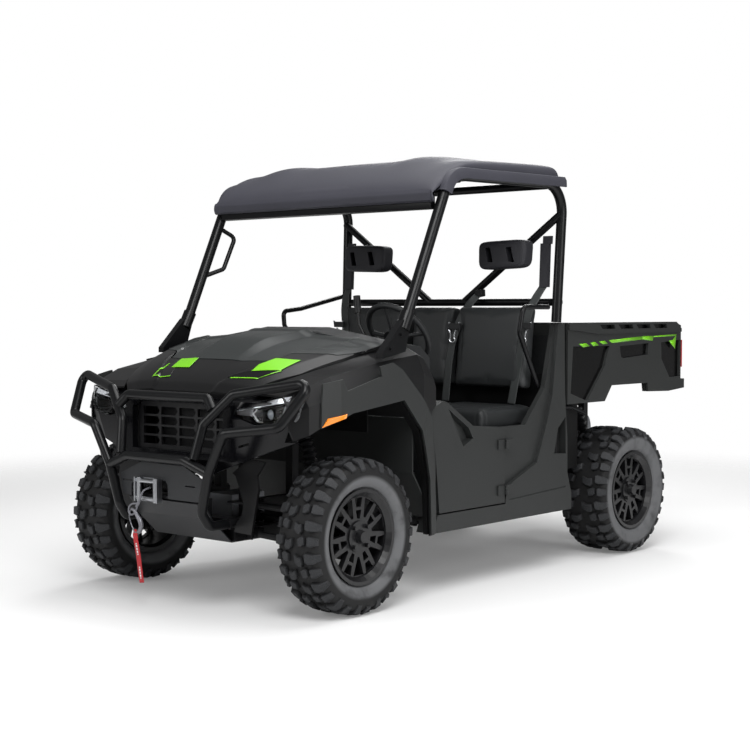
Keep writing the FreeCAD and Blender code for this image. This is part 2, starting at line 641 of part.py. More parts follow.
# ---- nose ----------------------------------------------------------------------------------
# x, then half width and height of: outer edge, ridge outside, ridge inside, ridge foot, bulge foot,
# bulge top, middle
HOOD = [
    ("hoodFront + 8", (372, "noseLevel - 20"), (300, "noseLevel - 6"), (190, "noseLevel + 2"),
     (180, "noseLevel - 4"), (120, "noseLevel - 2"), (80, "noseLevel - 1"), (0, "noseLevel")),
    ("hoodFront - 30", (412, "noseLevel + 22"), (330, "noseLevel + 36"), (205, "noseLevel + 46"),
     (193, "noseLevel + 37"), (130, "noseLevel + 39"), (90, "noseLevel + 40"), (0, "noseLevel + 41")),
    ("hoodFront - 190", (520, "noseLevel + 80"), (440, "noseLevel + 106"), (325, "noseLevel + 128"),
     (310, "noseLevel + 118"), (175, "noseLevel + 128"), (120, "noseLevel + 133"), (0,
             "noseLevel + 134")),
    ("hoodFront - 390", (585, "noseLevel + 142"), (520, "noseLevel + 166"), (400, "noseLevel + 188"),
     (385, "noseLevel + 180"), (200, "noseLevel + 200"), (135, "noseLevel + 228"), (0,
             "noseLevel + 231")),
    ("hoodRear", (628, "hoodLevel - 66"), (580, "hoodLevel - 52"), (480, "hoodLevel - 36"),
     (465, "hoodLevel - 42"), (230, "hoodLevel - 24"), (165, "hoodLevel"), (0, "hoodLevel + 3")),
]
# plan outline of the cowl in the hood: x and y of the left half
COWL = [("hoodFront - 190", 0), ("hoodFront - 192", 162), ("hoodFront - 226", 322), ("hoodFront - 288",
        356),
        ("hoodFront - 392", 545), ("hoodFront - 500", 612), ("hoodRear - 10", 622)]


def hoodShell(body):
    sections = []
    for row in HOOD:
        half = [(u, w) for u, w in row[1:]]
        top = [("-%s" % u, w) for u, w in half[:-1]] + half[::-1]
        under = [(u, "%s - hoodWall" % w) for u, w in reversed(top)]
        sections.append((row[0], top + under))
    loftAlong(body, "Shell", "AdditiveLoft", "YZ_Plane", sections)


def cowlOutline(gap):
    left = [("%s + %s" % (x, gap) if i < 3 else x, "%s + %s" % (y, gap) if i > 2 else y)
            for i, (x, y) in enumerate(COWL)]
    return [(x, "-(%s)" % y) for x, y in left[:0:-1]] + left


def hood():
    body = newBody("Hood")
    hoodShell(body)
    planCut(body, "CowlOpening", "noseLevel", 400, cowlOutline("panelGap / 2"))
    node("hood", body)
    cowl = newBody("Cowl")
    hoodShell(cowl)
    wide = 760
    far = "hoodFront + 60"
    half = cowlOutline(0)
    middle = len(half) // 2
    left = half[middle:]
    planCut(cowl, "LeftTrim", "noseLevel - 60", 460, [(far, 0)] + left + [("hoodRear - 20", wide), (far,
            wide)])
    right = [(x, "-(%s)" % y) for x, y in left]
    planCut(cowl, "RightTrim", "noseLevel - 60", 460, [(far, 0)] + right + [("hoodRear - 20", -wide),
            (far, -wide)])
    node("cowl", cowl)


def dash():
    body = newBody("DashBoard")
    # x, half width, edge height, middle height, bottom
    rows = [("hoodRear - 6", 622, "hoodLevel - 64", "hoodLevel - 4", 900), (780, 628, 1128, 1196, 860),
            (640, 622, 1112, 1160, 900), (560, 612, 1060, 1090, 960)]
    sections = [(x, [("-%s" % edge, bottom), (edge, bottom), (edge, edgeZ), (200, topZ), (-200, topZ),
                     ("-%s" % edge, edgeZ)]) for x, edge, edgeZ, topZ, bottom in rows]
    loftAlong(body, "Board", "AdditiveLoft", "YZ_Plane", sections)
    inside = [(x, [("-%s + 12" % edge, "%s - 40" % bottom), ("%s - 12" % edge, "%s - 40" % bottom),
                   ("%s - 12" % edge, "%s - 14" % edgeZ), (200, "%s - 14" % topZ), (-200,
                           "%s - 14" % topZ),
                   ("-%s + 12" % edge, "%s - 14" % edgeZ)]) for x, edge, edgeZ, topZ, bottom in (
        ("hoodRear + 10", 622, "hoodLevel - 64", "hoodLevel - 4", 880), (780, 628, 1128, 1196, 840),
        (640, 622, 1112, 1160, 880), (575, 614, 1068, 1098, 930))]
    loftAlong(body, "Inside", "SubtractiveLoft", "YZ_Plane", inside)
    # tray in front of each rider and the glove box door line
    crossCut(body, "GloveLine", 540, 60, [(-540, 985), (-540, 1052), (-230, 1052), (-230, 985), (-236,
            985),
             (-236, 1046), (-534, 1046), (-534, 985)])
    bore = doc.addObject("Part::Cylinder", "ColumnBore")
    bore.setExpression("Radius", bound("columnRadius + 3"))
    bore.Height = 420
    bore.setExpression("Placement.Base.x", bound("steerReach"))
    bore.setExpression("Placement.Base.y", bound("steerCentre"))
    bore.setExpression("Placement.Base.z", bound("steerLevel"))
    bore.Placement.Rotation = Rotation(Vector(0, 1, 0), 90 + d.steerTilt)
    board = doc.addObject("Part::Cut", "Dash")
    board.Base = body
    board.Tool = bore
    node("dash", board)


def noseRing(inset):
    # plan outlines of the nose at three heights: x and y of the left half
    rows = [("fasciaBottom", [(1508, 330), (1490, 480), (1452, 640), (1400, 705), (1335, 722)]),
            (820, [(1532, 335), (1512, 560), (1476, 655), (1402, 716), (1338, 728)]),
            ("noseLevel - 33", [(1512, 372), (1488, 560), (1446, 640), (1384, 700), (1330, 716)]),
            ("noseLevel - 9", [(1480, 366), (1456, 536), (1424, 606), (1376, 668), (1330, 690)])]
    made = []
    for z, half in rows:
        left = [("%d - %s" % (x, inset), "%d - %s * 0.8" % (y, inset)) for x, y in half]
        left.append((1290, left[-1][1]))
        made.append((z, left[::-1] + [(x, "-(%s)" % y) for x, y in left]))
    return made


def fascia():
    body = newBody("Fascia")
    loftAlong(body, "Nose", "AdditiveLoft", "XY_Plane", noseRing("0"))
    inner = noseRing("fasciaWall * 3")
    inner[0] = ("fasciaBottom - 5", inner[0][1])
    inner[-1] = ("noseLevel - 20", inner[-1][1])
    loftAlong(body, "Inside", "SubtractiveLoft", "XY_Plane", inner)
    # lower edge rises to the sides
    for name, side in (("Left", ""), ("Right", "-")):
        crossCut(body, "LowerEdge" + name, 1250, 330, [
            (side + "205", "fasciaBottom - 10"), (side + "212", "fasciaBottom + 6"), (side + "656", 738),
            (side + "800", 786), (side + "800", "fasciaBottom - 10")])
        crossCut(body, "LampHole" + name, 1340, 220, [
            (side + "344", 834), (side + "462", 800), (side + "572", 814), (side + "634",
                    904), (side + "344", 862)])
        crossCut(body, "WingSlot" + name, 1440, 120, [
            (side + "362", 700), (side + "420", 716), (side + "420", 726), (side + "362", 710)])
    # side returns end where the fender starts
    for name, side in (("Left", ""), ("Right", "-")):
        planCut(body, "Return" + name, 735, 300, [(1200, side + "560"), (1484, side + "560"), (1484,
                side + "800"),
                                                  (1200, side + "800")])
        planCut(body, "LowReturn" + name, "fasciaBottom - 20", 300, [
            (1200, side + "560"), (1440, side + "560"), (1440, side + "800"), (1200, side + "800")])
    crossCut(body, "GrilleHole", 1400, 200, grilleOutline("0"))
    # raised frame round the grille
    crossPad(body, "Surround", 1505, 30, grilleOutline("-46"))
    crossCut(body, "SurroundHole", 1400, 200, grilleOutline("0"))
    node("front_fascia", body)


def grilleOutline(inset):
    half = "(grilleHalf - (%s))" % inset
    low = "grilleBottom + (%s) * 0.6" % inset
    high = "grilleTop - (%s) * 0.6" % inset
    return [("-" + half, low), (half, low), (half, "%s - 26" % high), ("%s - 30" % half, high),
            ("-(%s - 30)" % half, high), ("-" + half, "%s - 26" % high)]


def grille():
    body = newBody("Grille")
    crossPad(body, "Plate", "grilleFace - 14", 14, grilleOutline("1"))
    # arrow-ended cells in rows, all pointing to the vehicle's left
    for column in range(5):
        for row in range(4):
            u = "(-grilleHalf + 34 + %d * cellPitch)" % column
            w = "(grilleBottom + 18 + %d * cellRise)" % row
            reach = 58 if column == 4 else 92
            tip = 62 if column == 4 else 107
            crossCut(body, "Cell%d_%d" % (column, row), "grilleFace - 20", 40, [
                (u, w), (u + " + %d" % reach, w), (u + " + %d" % tip, w + " + 17"),
                (u + " + %d" % reach, w + " + 35"), (u, w + " + 35")])
    node("grille", body)
    core = newBody("Radiator")
    crossPad(core, "Core", "1371", 40, box(-280, 280, 640, 885))
    node("radiator", core)


def headlights():
    body = newBody("HeadlightLeft")
    sections = [(1380, [(346, 836), (462, 803), (570, 817), (628, 900), (348, 860)]),
                (1440, [(346, 836), (462, 803), (568, 817), (622, 898), (348, 860)]),
                (1488, [(346, 837), (462, 804), (556, 816), (560, 888), (348, 860)]),
                (1512, [(346, 838), (440, 808), (470, 812), (440, 872), (348, 859)])]
    loftAlong(body, "Lens", "AdditiveLoft", "YZ_Plane", sections)
    node("headlights", body, mirrored(body, "HeadlightRight"))


# x, half width and height of: hood side, shoulder, flare
FENDER = [("hoodFront - 8", (398, 930), (588, 922), (632, 852)), (1440, (440, 956), (640, 950), (692,
        880)),
          (1300, (530, 1006), (676, 998), (731, 930)), (1000, (612, 1086), (692, 1052), ("fenderHalf",
                  985)),
          (760, (640, 1110), (702, 1080), ("fenderHalf", 1000)),
          ("fenderRear", (645, 1062), (700, 1032), ("bodyHalf + 12", 960))]
ARCH = [(690, 200), (698, 275), (712, 527), (781, 752), (905, 888), (1227, 848), (1383, 795), (1486, 741)]


def fenders():
    body = newBody("FenderLeft")
    sections = []
    for x, hoodSide, shoulder, flare in FENDER:
        wall = "fenderWall"
        (inner, innerZ), (top, topZ), (out, outZ) = hoodSide, shoulder, flare
        sections.append((x, [(inner, innerZ), (top, topZ), (out, outZ), (out, "sillBottom"),
                             ("%s - %s" % (out, wall), "sillBottom"), ("%s - %s" % (out, wall),
                                     "%s - 5" % outZ),
                             ("%s - 3" % top, "%s - %s" % (topZ, wall)), (inner, "%s - %s" % (innerZ,
                                     wall))]))
    loftAlong(body, "Skin", "AdditiveLoft", "YZ_Plane", sections)
    sideCut(body, "Arch", "fenderHalf + 60", 400, ARCH + [(1600, 700), (1600, 200)])
    sideCut(body, "Seam", "fenderHalf + 60", 400, [
        (600, 200), (651, 275), (640, 595), (688, 820), (605, 876), (560, 980), (560, 200)])
    sideCut(body, "TopSeam", "fenderHalf + 60", 400, [(600, 884), (612, 884), (737, 1090), (737, 1200),
                                                      (560, 1200)])
    sideCut(body, "NoseSeam", "fenderHalf + 60", 400, [
        (1480, 744), (1600, 700), (1600, 1000), (1489, 1000), (1489, 880), (1496, 800)])
    node("front_fenders", body, mirrored(body, "FenderRight"))
    # satin cover over the flare, with two teeth along its crest
    cover = newBody("CoverLeft")
    rows = [(1496, 636), (1440, 693), (1300, 732), (1000, "fenderHalf + 1"), (760, "fenderHalf + 1"),
            ("fenderRear", "bodyHalf + 13")]
    loftAlong(cover, "Band", "AdditiveLoft", "YZ_Plane", [
        (x, [(y, 200), ("%s + coverWall" % y, 200), ("%s + coverWall" % y, 1060), (y,
                1060)]) for x, y in rows])
    sideCut(cover, "Arch", "fenderHalf + 60", 400, ARCH[:-1] + [(1392, 792), (1620, 770), (1620, 100),
            (690, 100)])
    sideCut(cover, "Foot", "fenderHalf + 60", 400, [(560, 100), (860, 100), (860, "sillBottom + 6"), (560,
            "sillBottom + 6")])
    sideCut(cover, "Crest", "fenderHalf + 60", 400, [
        (600, 200), (652, 275), (654, 420), (694, 800), (726, 836), (790, 905), (915, 1018), (978, 1050),
        (1064, 1036), (1052, 994), (1262, 940), (1286, 990), (1384, 974), (1388, 900), (1392, 785),
        (1620, 760), (1620, 1200), (560, 1200), (560, 200)])
    node("fender_covers", cover, mirrored(cover, "CoverRight"))
    # black liner behind the wheel opening
    liner = newBody("LinerLeft")
    reach = [(1440, 676), (1300, 718), (1000, 728), (760, 728), ("fenderRear", 700)]
    loftAlong(liner, "Block", "AdditiveLoft", "YZ_Plane", [
        (x, [(470, 200), (y, 200), (y, 960), (470, 960)]) for x, y in reach])
    sideCut(liner, "Inside", "fenderHalf + 60", 400, [(696, 100), (704, 275), (717, 526), (786, 749),
                                                      (906, 884),
            (1227, 843), (1382, 790), (1460, 760), (1460, 100)])
    sideCut(liner, "Outside", "fenderHalf + 60", 400, [
        (600, 100), (690, 100), (690, 275), (704, 527), (775, 755), (903, 893), (1228, 853), (1379,
                801), (1384, 790),
        (1460, 764), (1460, 1000), (600, 1000)])
    sideCut(liner, "Foot", "fenderHalf + 60", 400, [(560, 50), (860, 50), (860, "sillBottom + 6"), (560,
            "sillBottom + 6")])
    # lower part is a narrow lip beside the toe board
    sideCut(liner, "LipOnly", 692, 260, [(600, 100), (840, 100), (840, 812), (600, 812)])
    node("fender_liners", liner, mirrored(liner, "LinerRight"))


# ---- cage and roof -------------------------------------------------------------------------
def sideTube(radius):
    # A-pillar joint, roof corner, rear roof corner, bed level
    side = [Vector(842, d.bodyHalf - 2, 1218), Vector(d.headerFront, d.bodyHalf + 4, d.headerLevel),
            Vector(d.hoopRear - 32, d.bodyHalf + 8, d.headerLevel + 13),
            Vector(d.hoopRear + 2, d.bodyHalf - 6, d.bedRailLevel - 20)]
    return tube(side, radius, d.cageBend)


def pillarFoot():
    # cast foot under the A-pillar with its clamp bolts
    low = d.bodyHalf - 19
    points = [(824, 1204), (838, 1238), (872, 1232), (1012, 1092), (1012, 1068), (860, 1094), (846, 1140)]
    corners = [Vector(x, low, z) for x, z in points]
    foot = Part.Face(Part.makePolygon(corners + corners[:1])).extrude(Vector(0, 36, 0))
    collar = cylinder(Vector(860, d.bodyHalf - 2, 1190), Vector(822, d.bodyHalf - 2, 1262),
                      d.cageTube + 6)
    bolts = [Part.makeCylinder(7, 8, Vector(x, low + 36, z), Vector(0, 1, 0)) for x, z in ((890, 1168),
            (960, 1108))]
    return [foot, collar] + bolts


def cage():
    shape = fused([sideTube(d.cageTube)] + pillarFoot())
    left = solidFeature("CageSideLeft", shape)
    right = solidFeature("CageSideRight", mirrorShape(shape))
    node("cage_sides", left, right)
    inner = d.bodyHalf + 10
    wider = sideTube(d.cageTube + d.copeGap)
    both = [wider, mirrorShape(wider)]
    # cross bars: x, height, radius
    bars = [cylinder(Vector(x, -inner, z), Vector(x, inner, z), radius).cut(both) for x, z, radius in (
        (d.headerFront - 60, d.headerLevel - 14, 20), (d.headerFront - 200, d.headerLevel + 2, 16),
        (d.hoopRear + 60, d.headerLevel + 6, 20))]
    bars = [max(bar.Solids, key=lambda solid: solid.Volume) for bar in bars]
    low = d.bedRailLevel + 80
    hoopX = d.hoopRear - 12
    hoop = cylinder(Vector(hoopX, -inner, low), Vector(hoopX, inner, low), 19)
    braces = [cylinder(Vector(hoopX, s * inner, d.headerLevel - 130), Vector(hoopX, s * 110, low), 19)
              for s in (1, -1)]
    # headrest stems stand forward from the braces
    stems = [Part.makeBox(-287 - hoopX, 26, 34, Vector(hoopX, s * 445 - 13, 1512)) for s in (1, -1)]
    rear = fused([hoop] + braces + stems).cut(both)
    rear = max(rear.Solids, key=lambda solid: solid.Volume)
    node("cage_cross", *[solidFeature("CageBar%d" % i, s) for i, s in enumerate(bars + [rear])])


# x, then half width and height of: side lip, side roll outside, side roll top, gutter, rib outside,
# rib inside, rib foot, middle
ROOF = [
    ("roofFront", (700, 1802), (697, 1808), (660, 1812), (560, 1814), (500, 1815), (390, 1816), (330,
            1816), (0, 1817)),
    (600, (706, 1834), (702, 1848), (660, 1858), (560, 1866), (500, 1868), (390, 1869), (330, 1870), (0,
            1872)),
    (534, (710, 1888), (704, 1896), (662, 1904), (566, 1906), (500, 1912), (390, 1916), (330, 1914), (0,
            1918)),
    (441, ("roofHalf", 1914), (706, 1936), (662, 1949), (572, 1946), (506, 1966), (386, 1972), (320,
            1962), (0, 1968)),
    (366, ("roofHalf", 1919), (706, 1946), (660, 1958), (574, 1958), (508, 1984), (384, "roofTop - 8"),
     (316, 1974),
     (0, 1982)),
    (240, ("roofHalf", 1921), (706, 1956), (658, 1967), (576, 1966), (510, 1992), (384, "roofTop"), (314,
            1984),
     (0, "roofTop - 4")),
    (-40, ("roofHalf", 1921), (706, 1966), (656, 1978), (578, 1972), (512, 1994), (384, "roofTop"), (314,
            1988),
     (0, "roofTop")),
    (-290, ("roofHalf", 1921), (704, 1972), (654, 1987), (578, 1976), (512, 1992), (384, "roofTop - 3"),
     (314, 1986),
     (0, "roofTop - 3")),
    ("roofRear", (692, 1921), (686, 1940), (640, 1956), (578, 1954), (512, 1960), (384, 1962), (314,
            1960), (0, 1962)),
]


def roof():
    body = newBody("Roof")
    sections = []
    for x, lip, outer, *rest in ROOF:
        top = [lip, outer] + rest
        under = [("%s - roofWall" % lip[0], lip[1]), ("%s - roofWall" % outer[0],
                                                      "%s - roofWall" % outer[1])]
        under += [(u, "%s - roofWall" % w) for u, w in rest]
        ring = [("-(%s)" % u, w) for u, w in top[:-1]] + top[::-1] + under[:-1]
        ring += [under[-1]] + [("-(%s)" % u, w) for u, w in under[-2::-1]]
        sections.append((x, ring))
    loftAlong(body, "Panel", "AdditiveLoft", "YZ_Plane", sections)
    clear = sideTube(d.cageTube + 2)
    tubes = solidFeature("RoofClearance", clear.fuse(mirrorShape(clear)))
    panel = doc.addObject("Part::Cut", "RoofPanel")
    panel.Base = body
    panel.Tool = tubes
    node("roof_panel", panel)


# ---- seats and controls --------------------------------------------------------------------
def seats():
    # seat centre y and width of each back
    backs = []
    for i, (y, width) in enumerate((("385", "seatWidth"), ("0", "middleWidth"), ("-385", "seatWidth"))):
        back = doc.addObject("Part::Box", "SeatBack%d" % i)
        back.setExpression("Length", bound("backThick"))
        back.setExpression("Width", bound(width))
        back.setExpression("Height", bound("backHeight"))
        back.Placement = Placement(Vector(-275, number(y) - number(width) / 2, d.seatLevel + 110),
                                   Rotation(Vector(0, 1, 0), -d.backRecline))
        backs.append(back)
    node("seat_backs", *backs)
    cushions = []
    for i, (y0, y1) in enumerate(((-620, 138), (148, 620))):
        cushion = doc.addObject("Part::Box", "SeatCushion%d" % i)
        cushion.setExpression("Length", bound("cushionDepth"))
        cushion.Width = y1 - y0
        cushion.setExpression("Height", bound("cushionThick"))
        cushion.Placement = Placement(Vector(d.seatFront - d.cushionDepth + 40, y0, d.seatLevel),
                                      Rotation())
        cushions.append(cushion)
    node("seat_cushions", *cushions)
    rests = []
    for i, side in enumerate(("", "-")):
        rest = newBody("Headrest%d" % i)
        crossPad(rest, "Pad", -285, 64, [
            (side + "323", 1505), (side + "350", 1484), (side + "540", 1484), (side + "567", 1505),
            (side + "567", 1590), (side + "545", 1612), (side + "345", 1612), (side + "323", 1590)])
        for k, centre in enumerate((392, 498)):
            crossCut(rest, "Slot%d" % k, -300, 100, [
                ("%s%d" % (side, centre - 20), 1520), ("%s%d" % (side, centre + 14), 1520),
                ("%s%d" % (side, centre + 20), 1578), ("%s%d" % (side, centre - 14), 1578)])
        rests.append(rest)
    node("headrests", *rests)


def handHolds():
    inner = d.bodyHalf + 8
    near = inner - 40
    hip = tube([Vector(-250, inner, 1290), Vector(-90, near, 1290), Vector(-70, near - 6, 1165),
                Vector(-262, near - 30, 900)], 12, 30)
    far = tube([Vector(-330, -inner, 1352), Vector(60, 3 - near, 1282), Vector(200, 8 - near, 1268),
                Vector(196, 12 - near, 1190), Vector(-150, 18 - near, 930), Vector(-222, 22 - near,
                        905)], 12, 28)
    grab = tube([Vector(640, -inner, 1700), Vector(548, 6 - near, 1640), Vector(628, 6 - near, 1480),
                 Vector(742, -inner, 1436)], 11, 26)
    wider = sideTube(d.cageTube + d.copeGap)
    other = mirrorShape(wider)
    pieces = []
    for name, shape in (("HipLeft", hip), ("HipRight", far), ("GrabHandle", grab)):
        cut = shape.cut([wider, other])
        pieces.append(solidFeature(name, max(cut.Solids, key=lambda solid: solid.Volume)))
    node("hand_holds", *pieces)


def belts():
    # shoulder strap from its sleeve to the seat, and the sleeve beside the pillar: y of each
    straps = []
    sleeves = []
    for i, (y, top) in enumerate(((592, 1470), (172, 1300), (-592, 1470))):
        strap = newBody("Belt%d" % i)
        lean = (top - 812) * 0.105
        sidePad(strap, "Strap", y - 23, 46, [("%.1f" % (-168 - lean), top), (-168, 812), (-164, 812),
                                             ("%.1f" % (-164 - lean), top)])
        straps.append(strap)
    for i, y in enumerate((d.bodyHalf - 54, 54 - d.bodyHalf)):
        sleeve = newBody("BeltSleeve%d" % i)
        sidePad(sleeve, "Sleeve", y - 24, 48, [(-292, 1388), (-302, 1604), (-326, 1604), (-316, 1388)])
        sidePad(sleeve, "Anchor", y - 12, 50, [(-304, 1600), (-308, 1640), (-322, 1640), (-318, 1600)])
        sleeves.append(sleeve)
    node("seat_belts", *straps)
    node("belt_sleeves", *sleeves)


def steering():
    axis = Vector(-math.cos(math.radians(d.steerTilt)), 0, math.sin(math.radians(d.steerTilt)))
    centre = Vector(d.steerReach, d.steerCentre, d.steerLevel)
    rim = Part.makeTorus(d.steerRadius - d.steerTube, d.steerTube, centre, axis)
    boss = Part.makeCylinder(48, 40, centre - axis * 52, axis)
    spokes = []
    across = Vector(0, 1, 0)
    up = axis.cross(across)
    for turn in (0, 180, 270):
        way = across * math.cos(math.radians(turn)) + up * math.sin(math.radians(turn))
        spokes.append(cylinder(centre - axis * 30 + way * 30,
                               centre + way * (d.steerRadius - d.steerTube), 10))
    node("steering_wheel", solidFeature("SteeringWheel", fused([rim, boss] + spokes)))
    column = cylinder(centre - axis * 320, centre - axis * 53, d.columnRadius)
    node("steering_column", solidFeature("SteeringColumn", column))
    lever = tube([Vector(500, 190, 1120), Vector(505, 140, 1205), Vector(490, 110, 1340)], 9, 30)
    grip = cylinder(Vector(496, 124, 1260), Vector(490, 110, 1342), 17)
    node("shift_lever", solidFeature("ShiftLever", fused([lever, grip])))


# ---- guard and winch -----------------------------------------------------------------------
def guard():
    r = d.guardTube
    x = d.guardFront
    inner = [Vector(x - 4, 235, 655), Vector(x - 34, 258, 800), Vector(x - 83, 387, 927), Vector(x - 196,
            728, 984),
             Vector(x - 77, 651, 802), Vector(x - 3, 411, 772), Vector(x - 9, 314, 600), Vector(x - 19,
                     263, 430),
             Vector(x - 60, 265, 372), Vector(d.guardBeam, 265, 372)]
    left = tube(inner, r, 32)
    lower = tube([Vector(x - 9, -314, 600), Vector(x + 2, -179, 648), Vector(x + 2, 179, 648),
                  Vector(x - 9, 314, 600)], r, 60)
    upper = tube([Vector(x - 48, -300, 858), Vector(x - 64, -254, 906), Vector(x - 64, 254, 906),
                  Vector(x - 48, 300, 858)], r, 30)
    shape = left.multiFuse([mirrorShape(left), lower, upper])
    node("brush_guard", solidFeature("BrushGuard", shape))


def winch():
    body = newBody("WinchPlate")
    crossPad(body, "Plate", "guardFront - 36", "winchWall", [(-134, 619), (-268, 564), (-250, 474), (-205,
            472),
             (205, 472), (250, 474), (268, 564), (134, 619)])
    crossCut(body, "Window", "guardFront - 60", 60, [(-196, 460), (-196, 520), (-170, 548),
                                                             (26, 548), (40, 530), (40, 460)])
    for i, start in enumerate((150, -252)):
        crossCut(body, "Slit%d" % i, "guardFront - 60", 60, box(start, start + 60, 532, 538))
    node("winch_plate", body)
    x = d.guardFront - 36
    turns = [Part.makeTorus(31, 5, Vector(x - 60, -150 + 11.7 * i, 525), Vector(0, 1,
            0)) for i in range(15)]
    drum = Part.makeCylinder(31, 190, Vector(x - 60, -163, 525), Vector(0, 1, 0))
    ends = [Part.makeCylinder(44, 60, Vector(x - 60, y, 525), Vector(0, 1, 0)) for y in (-223, 27)]
    mount = Part.makeBox(90, 250, 12, Vector(x - 95, -190, 470))
    winchBody = fused([drum] + ends + [mount] + turns)
    # roller fairlead: cheeks, rails and four rollers
    face = x + d.winchWall
    frame = [Part.makeBox(8, 150, 10, Vector(face, -146, z)) for z in (452, 546)]
    frame += [Part.makeBox(30, 8, 104, Vector(face, y, 452)) for y in (-146, -4)]
    frame += [Part.makeCylinder(11, 104, Vector(face + 18, y, 452)) for y in (-124, -18)]
    frame += [Part.makeCylinder(9, 140, Vector(face + 18, -142, z), Vector(0, 1, 0)) for z in (466, 542)]
    fair = fused(frame)
    node("winch", solidFeature("WinchBody", winchBody))
    node("fairlead", solidFeature("Fairlead", fair))
    rope = tube([Vector(x + 10, -72, 506), Vector(x + 50, -74, 504), Vector(x + 50, -92, 462),
                 Vector(x + 44, -112, 414)], 4, 9)
    eye = Part.makeTorus(20, 6, Vector(x + 44, -118, 396), Vector(1, 0, 0))
    shank = tube([Vector(x + 44, -124, 380), Vector(x + 44, -136, 345), Vector(x + 44, -118, 318),
                  Vector(x + 44, -100, 340)],
                 7, 14)
    node("winch_hook", solidFeature("WinchHook", fused([rope, eye, shank])))
    strap = Part.makeBox(3, 24, 195, Vector(x + 46, -138, 118))
    strap.rotate(Vector(x + 47, -126, 313), Vector(1, 0, 0), 9)
    node("hook_strap", solidFeature("HookStrap", strap))


def lowerBumper():
    # side posts of the lower bumper behind the guard, with their braces
    post = newBody("PostLeft")
    crossPad(post, "Face", 1474, 12, [(293, 590), (395, 655), (485, 646), (437, 586), (446, 530), (404,
            338),
                                      (302, 342), (314, 380), (350, 420), (358, 466), (313, 577)])
    planPad(post, "Shelf", 462, 8, [(1400, 268), (1486, 262), (1486, 354), (1450, 358), (1400, 310)])
    planPad(post, "LowShelf", 360, 8, [(1430, 289), (1486, 289), (1486, 330), (1440, 325)])
    node("lower_bumper", post, mirrored(post, "PostRight"))


